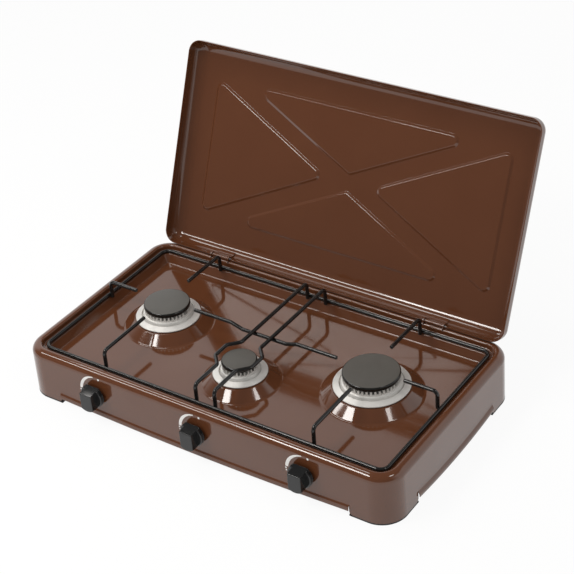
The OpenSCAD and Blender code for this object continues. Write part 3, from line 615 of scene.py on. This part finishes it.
def wire(name, points, *stands_for):
    """A round wire that is bent at each inner point."""
    piece = start(name)
    points = [spot(*p) for p in points]
    runs = [(b - a).normalized() for a, b in zip(points, points[1:])]
    wire_section(points[0], runs[0].to_track_quat("Z", "Y").to_euler())
    here = points[0]
    for point, run, after in zip(points[1:], runs, runs[1:]):
        angle = run.angle(after)
        trim = BEND * MM * math.tan(angle / 2)
        carry(point - run * trim - here)
        inward = (after - run * after.dot(run)).normalized()
        middle = point - run * trim + inward * BEND * MM
        steps = max(LEAST_STEPS, round(angle * BEND_STEPS))
        turn(middle, run.cross(after).normalized(), math.degrees(angle), steps)
        here = point + after * trim
    carry(points[-1] - here)
    weld()
    pick("EDGE", lambda edge: edge.is_boundary)
    bpy.ops.mesh.edge_face_add()
    weld()
    pick("EDGE", lambda edge: any(len(face.verts) > 4 for face in edge.link_faces))
    bpy.ops.mesh.bevel(offset=TIP_ROUND * MM, segments=3)
    return finished(piece, "pan_support", "wire", *stands_for)


print("wire of", 2 * WIRE_R, "mm, bent round", BEND, "mm")

# %% [markdown]
# Two fork bars run from front to rear and widen round the small burner. Short prongs reach in from the
# ring towards the two large burners, and the cross bar dips to pass under the forks. Left and right are
# alike, so one loop bends both.

# %% Wires of the pan support
RING_U, RING_Z, BAR_Z = 11, 64.5, 86.5
SLACK = 0.1
LEG_IN = RING_U - 2 * WIRE_R - SLACK
LEG_X, LEG_Y, LEG_LOW = SPINE_X + LEG_IN, SPINE_Y + LEG_IN, RING_Z - WIRE_R
FORK_NEAR, FORK_WIDE = 14, 27
FORK_BENDS = (-77, -63, -39, -25)
CROSS_Y, DIP_Z = 3.5, BAR_Z - 2 * WIRE_R - SLACK
CROSS_BEND, DIP_END = 50, 33
REACH = 47
support_wires = []
for name, side in (("left", -1), ("right", 1)):
    near, wide = FORK_NEAR * side, FORK_WIDE * side
    bends = [(bend_x, bend_y, BAR_Z) for bend_x, bend_y in zip((near, wide, wide, near), FORK_BENDS)]
    support_wires.append(wire(
        f"fork_wire_{name}",
        [
            (near, -LEG_Y, LEG_LOW), (near, -LEG_Y, BAR_Z), *bends,
            (near, LEG_Y, BAR_Z), (near, LEG_Y, LEG_LOW),
        ],
        f"fork_bar_{name}",
    ))
    x, y = BURNER[name]
    for end, way in (("front", -1), ("rear", 1)):
        support_wires.append(wire(
            f"prong_wire_{name}_{end}",
            [(x, way * LEG_Y, LEG_LOW), (x, way * LEG_Y, BAR_Z), (x, y + way * REACH, BAR_Z)],
            f"prong_{name}_{end}",
        ))
    leg_x = side * LEG_X
    support_wires.append(wire(
        f"prong_wire_{name}_side",
        [(leg_x, CROSS_Y, LEG_LOW), (leg_x, CROSS_Y, BAR_Z), (x + side * REACH, CROSS_Y, BAR_Z)],
        f"prong_{name}_side",
    ))
cross_end = BURNER["right"][0] - REACH
support_wires.append(wire(
    "cross_wire",
    [
        (-cross_end, CROSS_Y, BAR_Z), (-CROSS_BEND, CROSS_Y, BAR_Z), (-DIP_END, CROSS_Y, DIP_Z),
        (DIP_END, CROSS_Y, DIP_Z), (CROSS_BEND, CROSS_Y, BAR_Z), (cross_end, CROSS_Y, BAR_Z),
    ],
    "cross_bar",
))

# %% [markdown]
# The ring that carries the bars lies on the ledge of the tray. It is a closed wire, so its circle goes
# the same way round as the section of the body, with no ends to close.

# %% Ring of the pan support
ring = start("ring_wire")
wire_section(spot(-SPINE_X, -SPINE_Y - RING_U, RING_Z), (0, math.pi / 2, 0))
carry_round(SPINE_X, SPINE_Y, even(SPINE_X, 1), even(SPINE_Y, 1))
support_wires.append(finished(ring, "pan_support", "wire", "support_ring"))

# %% [markdown]
# ## Burners
# A burner is a cast ring with a sloping skirt and a crown of flame slots, under a loose enamelled cap.
# The cap has a slightly domed top, a rounded edge and a collar below that keeps it in the crown. It could
# be a cylinder with bevels, but a section that is spun shows all of this at once.

# %% Burner caps
CROWN_H, CAP_H, CAP_GAP = 15, 6.5, 0.3
CAP_TOP = SEAT_Z + CROWN_H + CAP_H
CAP_LOW = SEAT_Z + CROWN_H + CAP_GAP
CAP_EDGE, CAP_DOME, DOME_STEPS = 2.2, 0.6, 6
COLLAR_IN, COLLAR_W, COLLAR_H, HOLLOW_H = 7.4, 2, 3, 3


def lathe(name, x, y, section):
    """A section spun about an upright axis."""
    piece = start(name)
    draw([spot(x + r, y, z) for r, z in section])
    turn(spot(x, y, 0), UP, 360, ROUND_STEPS)
    weld()
    return piece


def cap_section(r):
    """Section of a cap of radius r, from the middle of its top to the middle of its hollow."""
    flat, collar = r - CAP_EDGE, r - COLLAR_IN
    shares = [k / DOME_STEPS for k in range(1, DOME_STEPS)]
    return [
        (0, CAP_TOP),
        *[(flat * share, CAP_TOP - CAP_DOME * share**2) for share in shares],
        *arc((flat, CAP_TOP - CAP_DOME - CAP_EDGE), CAP_EDGE, 84, 0, 8),
        (r, CAP_LOW + 1), (r - 0.3, CAP_LOW + 0.3), (r - 1, CAP_LOW),
        (collar, CAP_LOW), (collar, CAP_LOW - COLLAR_H), (collar - COLLAR_W, CAP_LOW - COLLAR_H),
        (collar - COLLAR_W, CAP_TOP - HOLLOW_H - 0.2), (0, CAP_TOP - HOLLOW_H),
    ]


caps = []
for name, (x, y) in BURNER.items():
    cap = lathe(f"cap_enamel_{name}", x, y, cap_section(CAP_R[name]))
    caps.append(finished(cap, f"cap_{name}", "cap_enamel", f"burner_cap_{name}"))

# %% [markdown]
# The casting below the cap has a spigot that sits in the tray, a skirt with a small undercut, a groove
# and the crown. Each slot could be cut out of a ring, but here all that is round comes from one spin,
# and a second spin copies one tooth round the crown, which leaves even slots between the teeth.

# %% Burner heads
SLOTS = {"left": 36, "middle": 28, "right": 42}
SLOT_W, SLOT_Z, TOOTH_W, TOOTH_H = 2.4, 10.4, 6.5, 4.7
SKIRT_W, CROWN_IN, BORE_IN, SPIGOT_IN, SPIGOT_H = 12, 0.5, 7, 3.4, 7
PITCH_IN = 3.5


def head_section(r):
    """Section of the casting under a cap of radius r, with heights from the seat."""
    skirt, crown, inside = r + SKIRT_W, r - CROWN_IN, r - BORE_IN
    return [
        (inside, -SPIGOT_H), (r - SPIGOT_IN, -SPIGOT_H), (r - SPIGOT_IN, 0), (skirt - 3, 0),
        (skirt - 3, 0.9), (skirt - 0.3, 0.9), (skirt, 1.2), (skirt, 1.8),
        *arc((skirt - 0.8, 1.8), 0.8, 20, 75, 4),
        (r + 4.4, 5.1), (r + 4, 4.9), (r + 3.8, 2.6), (r + 3, 2.6), (r + 2.7, 5.2), (r + 1.4, 7.6),
        (crown, 8.4), (crown, SLOT_Z), (inside, SLOT_Z), (inside, -SPIGOT_H),
    ]


heads = []
for name, (x, y) in BURNER.items():
    r = CAP_R[name]
    head = lathe(f"head_casting_{name}", x, y, [(a, SEAT_Z + h) for a, h in head_section(r)])
    tooth_r = r - (CROWN_IN + BORE_IN) / 2
    pitch = 2 * math.pi / SLOTS[name] * (r - PITCH_IN)
    block(spot(x + tooth_r, y, SEAT_Z + CROWN_H - TOOTH_H / 2), (TOOTH_W, pitch - SLOT_W, TOOTH_H))
    bpy.ops.mesh.spin(
        steps=SLOTS[name], angle=2 * math.pi, center=spot(x, y, 0), axis=UP, dupli=True, use_auto_merge=False
    )
    heads.append(finished(head, "stove_body", "cast_aluminium", f"burner_head_{name}"))

# %% [markdown]
# ## Knobs
# A knob is a turned base with two fine grooves round its side and a grip bar across its face. A sloping
# plane cuts both off at the top. Base and bar get soft edges while they are still simple shapes, and a
# union makes one piece of them.

# %% Shape of a knob
KNOB_R, KNOB_BACK, KNOB_LEN = 16.5, -152.891, 16
KNOB_FRONT = KNOB_BACK - KNOB_LEN
BASE, GRIP_R, GRIP_HALF, GRIP_TOP = 6, 16, 9.075, 9.57
GRIP_SUNK = 1
SLOPE = math.radians(12)
OFF_TOP = Vector((0, -math.sin(SLOPE), math.cos(SLOPE)))
SHARP, EDGE_ROUND, ON_TOP = 0.6, 0.7, 0.999
HOLLOW_R, HOLLOW_D = 9.9, 4
GROOVE_R, GROOVE_EDGE_R = 15.7, 16.3


def groove(depth):
    """A fine groove round the side of a knob, as a part of its section."""
    return [
        (GROOVE_EDGE_R, depth - 0.3), (GROOVE_R, depth - 0.2),
        (GROOVE_R, depth + 0.2), (GROOVE_EDGE_R, depth + 0.3),
    ]


knob_section = [
    (0, HOLLOW_D), (HOLLOW_R, HOLLOW_D), (HOLLOW_R, 0), (16.2, 0), (KNOB_R, 0.3), (KNOB_R, 1.4),
    *groove(2), (KNOB_R, 2.6), (KNOB_R, 3.2), *groove(3.8),
    *arc((15, 4.5), 1.4, 0, 90, 6), (0, BASE),
]
grip_corner = math.degrees(math.acos(GRIP_HALF / GRIP_R))
grip_outline = [
    (GRIP_HALF, KNOB_R), (-GRIP_HALF, KNOB_R), *arc((0, 0), GRIP_R, 180 + grip_corner, 360 - grip_corner, 16)
]


def cut_top(x, soft):
    """Cut the open mesh off along the knob's sloping top and soften its edges."""
    bpy.ops.mesh.select_all(action="SELECT")
    bpy.ops.mesh.bisect(
        plane_co=spot(x, KNOB_FRONT, KNOB_Z + GRIP_TOP), plane_no=OFF_TOP, use_fill=True, clear_outer=True
    )
    pick("EDGE", lambda e: len(e.link_faces) == 2 and e.calc_face_angle(0) > SHARP and soft(e))
    bpy.ops.mesh.bevel(offset=EDGE_ROUND * MM, segments=3, clamp_overlap=True)
    weld()


print("knob section", len(knob_section), "points, grip outline", len(grip_outline))

# %% One knob
KNOB_STEPS = 72
KNOB_BORE_R = 3.05
MODEL_X = BURNER["left"][0]
grip = start("grip")
outline([spot(MODEL_X + a, KNOB_BACK - BASE + GRIP_SUNK, KNOB_Z + b) for a, b in grip_outline])
bpy.ops.mesh.edge_face_add()
carry(Vector((0, KNOB_FRONT - KNOB_BACK + BASE - GRIP_SUNK, 0)) * MM)
weld()
cut_top(MODEL_X, lambda e: True)
model = start("knob_model")
draw([spot(MODEL_X + r, KNOB_BACK - d, KNOB_Z) for r, d in knob_section])
turn(spot(MODEL_X, 0, KNOB_Z), Vector((0, 1, 0)), 360, KNOB_STEPS)
weld()
cut_top(MODEL_X, lambda e: any(face.normal.dot(OFF_TOP) > ON_TOP for face in e.link_faces))
combine(model, grip, "UNION")
cutter = start("cutter")
bore(MODEL_X, KNOB_BACK - BORE_LEN / 2, KNOB_Z, KNOB_BORE_R)
combine(model, cutter, "DIFFERENCE")
print("knob modelled at", MODEL_X, "mm")

# %% [markdown]
# The three knobs are alike, so the one that is modelled is copied. The copy could share its mesh, but
# each knob is a piece of its own on its own tap, so each gets its own mesh, moved to its place.

# %% Three knobs
knobs = []
for name, (x, _) in BURNER.items():
    single_out(model)
    bpy.ops.object.duplicate()
    knob = bpy.context.object
    knob.name = f"knob_grip_{name}"
    knob.data.name = knob.name
    bpy.ops.object.mode_set(mode="EDIT")
    bpy.ops.mesh.select_all(action="SELECT")
    bpy.ops.transform.translate(value=Vector((x - MODEL_X, 0, 0)) * MM)
    knobs.append(finished(knob, f"knob_{name}", "knob_plastic", f"knob_{name}", angle=30))
bpy.data.objects.remove(model)

# %% [markdown]
# ## Marks round the knobs
# A printed mark round each knob shows how the flame grows: a crescent that swells to full flame, two
# dots beside it and one dot where the tap is shut. Print is a very thin layer, so each mark is a flat
# outline on the leaning wall, filled and given a few hundredths of a millimetre.

# %% Marks round the knobs
MARK_R, MARK_FIRST, MARK_LAST, MARK_STEPS = 24.5, 92, 178, 24
MARK_THIN, MARK_SWELL = 0.9, 3.2
SWELL_FIRST, SWELL_RUN = 0.02, 0.62
DOT_RING_R, DOT_STEPS = 24, 24
DOTS = ((72, 1.5), (184, 1.1), (192, 1.1))
INK, PROUD = 0.05, 0.01


def round_knob(x, radius, degrees):
    """A place round the middle of a knob, as a pair in millimetres on the wall."""
    angle = math.radians(degrees)
    return (x + radius * math.cos(angle), KNOB_Z + radius * math.sin(angle))


def mark(points):
    """A filled outline on the outside of the front wall."""
    outline([spot(x, -SPINE_Y - wall_u(z) - PROUD, z) for x, z in points])
    bpy.ops.mesh.edge_face_add()


def crescent(x):
    """Outline of the mark that swells round a knob."""
    inner = []
    for i in range(MARK_STEPS + 1):
        share = i / MARK_STEPS
        width = MARK_THIN + MARK_SWELL * math.sin(math.pi * (share * SWELL_RUN + SWELL_FIRST))
        inner.append(round_knob(x, MARK_R - width, MARK_FIRST + (MARK_LAST - MARK_FIRST) * share))
    return arc((x, KNOB_Z), MARK_R, MARK_FIRST, MARK_LAST, MARK_STEPS) + inner[::-1]


marks = []
for name, (x, _) in BURNER.items():
    print_marks = start(f"dial_print_{name}")
    mark(crescent(x))
    for degrees, dot_r in DOTS:
        dot = arc(round_knob(x, DOT_RING_R, degrees), dot_r, 0, 360, DOT_STEPS)
        mark(dot[:-1])
    bpy.ops.mesh.select_all(action="SELECT")
    bpy.ops.mesh.normals_make_consistent(inside=False)
    modify(print_marks, "SOLIDIFY", thickness=INK * MM, offset=0)
    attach(print_marks, "stove_body")
    marks.append(print_marks)
    print(print_marks.name, len(print_marks.data.polygons), "faces")

# %% [markdown]
# ## Finishes
# A finish is a small node tree. Its arithmetic reads best as an expression, so `Field` wraps one socket:
# adding or multiplying fields adds Math nodes, and `add` puts in any other node with its settings and
# its inputs. Patterns read Object coordinates, so they keep their real size on every piece.

# %% A field of values over a surface


class Field:
    """One value that changes over a surface."""

    def __init__(self, socket):
        self.socket = socket

    def add(self, kind, settings, inputs, output=0):
        """Put in a node: its settings first, then the values or fields of its inputs."""
        tree = self.socket.id_data
        node = tree.nodes.new(kind)
        for key, value in settings.items():
            setattr(node, key, value)
        for key, value in inputs.items():
            if isinstance(value, Field):
                tree.links.new(value.socket, node.inputs[key])
            else:
                node.inputs[key].default_value = value
        return Field(node.outputs[output])

    def math(self, operation, a, b):
        """A Math node on two values or fields."""
        return self.add("ShaderNodeMath", {"operation": operation}, {0: a, 1: b})

    def __add__(self, other):
        return self.math("ADD", self, other)

    __radd__ = __add__

    def __sub__(self, other):
        return self.math("SUBTRACT", self, other)

    def __rsub__(self, other):
        return self.math("SUBTRACT", other, self)

    def __mul__(self, other):
        return self.math("MULTIPLY", self, other)

    __rmul__ = __mul__

    def either(self, other):
        """The greater of two fields."""
        return self.math("MAXIMUM", self, other)

    def noise(self, size, detail=2.0, rough=0.5):
        """Soft noise whose lumps are about this many millimetres across."""
        return self.add(
            "ShaderNodeTexNoise",
            {"noise_dimensions": "3D"},
            {"Vector": self, "Scale": 1 / (size * MM), "Detail": detail, "Roughness": rough},
        )

    def between(self, low, high):
        """0 below low, 1 above high, and a smooth step between them."""
        return self.add(
            "ShaderNodeMapRange",
            {"interpolation_type": "SMOOTHSTEP"},
            {"Value": self, "From Min": low, "From Max": high},
        )

    def mix(self, low, high):
        """From one colour, or field of colours, to another as the field goes from 0 to 1."""
        return self.add("ShaderNodeMix", {"data_type": "RGBA"}, {"Factor": self, 6: low, 7: high}, 2)

    def tint(self, low, high):
        """From one plain colour to another as the field goes from 0 to 1."""
        return self.mix((*low, 1), (*high, 1))


print("fields can be added, multiplied and mixed")

# %% [markdown]
# Every finish starts from the Principled shader, which suits glass, metal and plastic alike. What is the
# same all over is set on its sockets, and what changes over the surface is linked to them.

# %% A new finish


def finish(name, **constants):
    """A new material: its Principled shader and the field of its Object coordinates."""
    material = bpy.data.materials.new(name)
    material.use_nodes = True
    tree = material.node_tree
    shader = tree.nodes["Principled BSDF"]
    for key, value in constants.items():
        shader.inputs[key.replace("_", " ")].default_value = value
    return material, shader, Field(tree.nodes.new("ShaderNodeTexCoord").outputs["Object"])


def feed(shader, **fields):
    """Link fields to the shader's sockets; a height goes through a Bump node."""
    tree = shader.id_data
    for key, field in fields.items():
        if key == "Height":
            height, distance = field
            field = height.add("ShaderNodeBump", {}, {"Height": height, "Distance": distance * MM})
            key = "Normal"
        tree.links.new(field.socket, shader.inputs[key.replace("_", " ")])
    print("finish of", len(tree.nodes), "nodes")


print("finishes can be made")

# %% [markdown]
# Vitreous enamel is a layer of glass fired on to the sheet. Its colour is deep and even, its gloss is
# that of glass, and it lies in long shallow waves with a little orange peel. A few specks of dark
# oxide show in it, and its brown varies a little in soft clouds.

# %% Brown enamel
enamel, shader, place = finish("brown_enamel", IOR=1.5, Coat_Roughness=0.03, Coat_IOR=1.5)
clouds = place.noise(60, 3)
specks = place.noise(1.1, 1).between(0.73, 0.8)
brown = clouds.tint((0.093, 0.0315, 0.0130), (0.105, 0.0365, 0.0152))
feed(
    shader,
    Base_Color=(specks * 0.5).mix(brown, (0.02, 0.006, 0.004, 1)),
    Roughness=0.07 + 0.05 * place.noise(9, 3),
    Coat_Weight=0.25 + 0.2 * clouds,
    Height=(place.noise(6, 1) + 0.25 * place.noise(1.6, 1), 0.006),
)

# %% [markdown]
# The wires carry a thinner black enamel that runs into small beads. The caps have a glossy black rim
# and a duller top with a fine grain, and the top's grey is a painted sheen of the sky on black enamel.
# A mask painted by hand could part the two, but the top is level, so its height is enough. Both
# enamels are dark, and their gloss does most of the drawing.

# %% Black enamels
wire_enamel, shader, place = finish("wire_enamel", IOR=1.5)
feed(
    shader,
    Base_Color=place.noise(14, 2).tint((0.006, 0.006, 0.006), (0.013, 0.012, 0.011)),
    Roughness=0.05 + 0.06 * place.noise(7, 2),
    Height=(place.noise(5, 1), 0.04),
)
cap_enamel, shader, place = finish("cap_enamel", IOR=1.48)
grain = place.noise(0.9, 3, 0.6)
height = place.add("ShaderNodeSeparateXYZ", {}, {0: place}, 2)
# Painted sheen: the level top is painted grey where the sky would shine on it. It is also made rougher and
# grainier.
dull_top_and_sheen = height.between((CAP_TOP - 0.95) * MM, (CAP_TOP - 0.6) * MM)
sheen_tone = dull_top_and_sheen * (0.6 + 0.2 * place.noise(16, 3) + 0.2 * grain)
feed(
    shader,
    Base_Color=sheen_tone.tint((0.008, 0.008, 0.007), (0.098, 0.092, 0.081)),
    Roughness=0.10 + 0.06 * place.noise(5, 3) + 0.2 * dull_top_and_sheen,
    Height=(dull_top_and_sheen * grain, 0.035),
)

# %% [markdown]
# The burner heads are die-cast aluminium. The casting skin is pale, slightly grainy and a little blotchy,
# with fine rings from the tool that turned it. A skin like this scatters more light than bare metal does,
# so it is only partly metallic.

# %% Cast aluminium
cast, shader, place = finish("cast_aluminium", Metallic=0.45)
grain = place.noise(0.6, 3, 0.65)
blotch = place.noise(12, 3)
rings = place.add(
    "ShaderNodeTexWave",
    {"wave_type": "BANDS", "bands_direction": "Z"},
    {"Vector": place, "Scale": 900.0, "Distortion": 0.6, "Detail": 1.0},
    1,
)
feed(
    shader,
    Base_Color=(0.6 * blotch + 0.4 * grain).tint((0.60, 0.585, 0.555), (0.82, 0.805, 0.77)),
    Roughness=0.38 + 0.2 * grain,
    Height=(grain + 0.4 * rings, 0.03),
)

# %% [markdown]
# The knobs are moulded in glossy black plastic, and the pads are matt rubber. Both are nearly black, and
# only their roughness and their fine relief tell them apart.

# %% Plastic and rubber
plastic, shader, place = finish("black_plastic", IOR=1.49)
feed(
    shader,
    Base_Color=place.noise(10, 2).tint((0.007, 0.007, 0.007), (0.012, 0.012, 0.012)),
    Roughness=0.05 + 0.06 * place.noise(3, 3),
    Height=(place.noise(0.8, 2), 0.005),
)
rubber, shader, place = finish("pad_rubber", IOR=1.5)
feed(
    shader,
    Base_Color=place.noise(5, 3).tint((0.010, 0.010, 0.010), (0.022, 0.022, 0.022)),
    Roughness=0.7 + 0.2 * place.noise(2, 2),
    Height=(place.noise(0.7, 3), 0.05),
)

# %% [markdown]
# The taps and jets are turned from brass, and the small steel parts are plated with zinc, whose crystals
# show as a faint pattern of cells. The print round the knobs is a slightly uneven white ink.

# %% Brass, zinc and ink
brass, shader, place = finish("turned_brass", Metallic=1.0)
feed(
    shader,
    Base_Color=place.noise(8, 3).tint((0.55, 0.36, 0.12), (0.74, 0.54, 0.24)),
    Roughness=0.26 + 0.2 * place.noise(1.2, 3),
    Height=(place.noise(0.6, 2), 0.02),
)
zinc, shader, place = finish("zinc_steel", Metallic=1.0)
spangle = place.add("ShaderNodeTexVoronoi", {"feature": "F1"}, {"Vector": place, "Scale": 320.0}, 0)
feed(
    shader,
    Base_Color=(0.5 * spangle + 0.5 * place.noise(3, 2)).tint((0.38, 0.39, 0.41), (0.60, 0.61, 0.62)),
    Roughness=0.30 + 0.22 * place.noise(2, 3),
    Height=(place.noise(0.8, 2), 0.02),
)
ink, shader, place = finish("white_ink", IOR=1.45)
feed(
    shader,
    Base_Color=place.noise(0.7, 2).tint((0.72, 0.71, 0.69), (0.86, 0.85, 0.83)),
    Roughness=0.3 + 0.2 * place.noise(0.8, 2),
)

# %% [markdown]
# Each piece already names the slot of its finish, and so does the record for the pieces that come
# straight from the frame. One table from slots to finishes dresses them all.

# %% Dress every piece
BY_SLOT = {
    "enamel": enamel,
    "wire": wire_enamel,
    "cap_enamel": cap_enamel,
    "cast_aluminium": cast,
    "knob_plastic": plastic,
    "pad_rubber": rubber,
    "brass": brass,
    "steel": zinc,
}


def dress(piece, material):
    """Give the piece one finish all over."""
    piece.data.materials.clear()
    piece.data.materials.append(material)


for piece in (body, lid, *support_wires, *caps, *heads, *knobs):
    dress(piece, BY_SLOT[piece["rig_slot"]])
for piece in marks:
    dress(piece, ink)
for subpart in frame["record"]["subparts"]:
    dress(nodes[subpart["node"]], BY_SLOT[subpart["material_slot"]])
print("dressed", len(nodes), "nodes")

# %% [markdown]
# ## Studio
# The stove stands on a white floor that runs into a white background. A brighter lamp would bleach the
# brown, so the floor glows where the camera or a glossy surface sees it, and takes the stove's shadow
# from the plain paper that is mixed in.

# %% Floor
FLOOR_SIZE, FLOOR_Z = 30, -0.0002
GLOW = 0.92
PAPER, WHITE = (0.85, 0.85, 0.85, 1), (1, 1, 1, 1)


def light_path(tree):
    """Fields that are 1 for rays from the camera, from gloss and through glass."""
    outputs = tree.nodes.new("ShaderNodeLightPath").outputs
    return [Field(outputs[f"Is {kind} Ray"]) for kind in ("Camera", "Glossy", "Transmission")]


scene = bpy.context.scene
scene.view_settings.view_transform = "Standard"
bpy.ops.object.select_all(action="DESELECT")
bpy.ops.mesh.primitive_plane_add(size=FLOOR_SIZE, location=(0, 0, FLOOR_Z))
floor = bpy.context.object
floor.name = "floor"
paper = bpy.data.materials.new("white_paper")
paper.use_nodes = True
tree = paper.node_tree
tree.nodes.remove(tree.nodes["Principled BSDF"])
seen, glossy, through = light_path(tree)
in_view = seen.either(glossy).either(through)
matt = seen.add("ShaderNodeBsdfDiffuse", {}, {"Color": PAPER})
lit = seen.add("ShaderNodeEmission", {}, {"Color": WHITE, "Strength": 1.0})
mixed = seen.add("ShaderNodeMixShader", {}, {0: in_view * GLOW, 1: matt, 2: lit})
tree.links.new(mixed.socket, tree.nodes["Material Output"].inputs["Surface"])
dress(floor, paper)
print("floor of", FLOOR_SIZE, "m")

# %% [markdown]
# The world is white to the camera. To glossy surfaces it is a dim room with a bright wall behind the
# stove, so that the brown stays deep in front, and to everything else it is a plain level of light.

# %% World
ROOM_DIM = 0.14
REAR_WALL, CEILING = (-0.35, 0.25), (0.63, 0.73)
AMBIENT = 0.64
world = bpy.data.worlds.new("studio")
scene.world = world
world.use_nodes = True
tree = world.node_tree
seen, glossy, through = light_path(tree)
way = Field(tree.nodes.new("ShaderNodeTexCoord").outputs["Generated"])
towards_rear = way.add("ShaderNodeSeparateXYZ", {}, {0: way}, 1)
upwards = Field(towards_rear.socket.node.outputs[2])
wall = towards_rear.between(*REAR_WALL) * (1 - upwards.between(*CEILING))
room = ROOM_DIM + (1 - ROOM_DIM) * wall
direct = seen.either(through)
strength = direct.either(glossy * room) + (1 - direct.either(glossy)) * AMBIENT
tree.links.new(strength.socket, tree.nodes["Background"].inputs["Strength"])
tree.nodes["Background"].inputs["Color"].default_value = WHITE
print("world at", AMBIENT)

# %% [markdown]
# Lamps are placed by what they draw, because gloss shows each lamp as a window. Soft boxes in front and
# to the right draw the bright windows on the cones, a long strip draws the line along the shoulder, and
# a box high up on the left lays a pale veil on the tray.

# %% Soft boxes
LAMP_AIM = spot(0, 0, 50)
WARM = (1, 0.97, 0.94)


def soft_box(name, place, size, power, lean=0):
    """A rectangular lamp that looks at the stove, leaning by some degrees in its own plane."""
    bpy.ops.object.select_all(action="DESELECT")
    here = spot(*place)
    toward = (here - LAMP_AIM).to_track_quat("Z", "Y")
    toward @= Quaternion((0, 0, 1), math.radians(lean))
    bpy.ops.object.light_add(type="AREA", location=here, rotation=toward.to_euler())
    lamp = bpy.context.object
    lamp.name = name
    lamp.data.shape = "RECTANGLE"
    lamp.data.size, lamp.data.size_y = size
    lamp.data.energy = power
    lamp.data.color = WARM
    print(name, "of", power, "W")


soft_box("front_box", (-414, -840, 1190), (0.46, 0.21), 5.2)
soft_box("front_strip", (-745, -646, 1200), (0.94, 0.14), 5.3, lean=41)
soft_box("right_box", (1010, -70, 1385), (0.34, 0.20), 2.1)
soft_box("top_box", (-780, 95, 1500), (0.25, 0.76), 4.0)
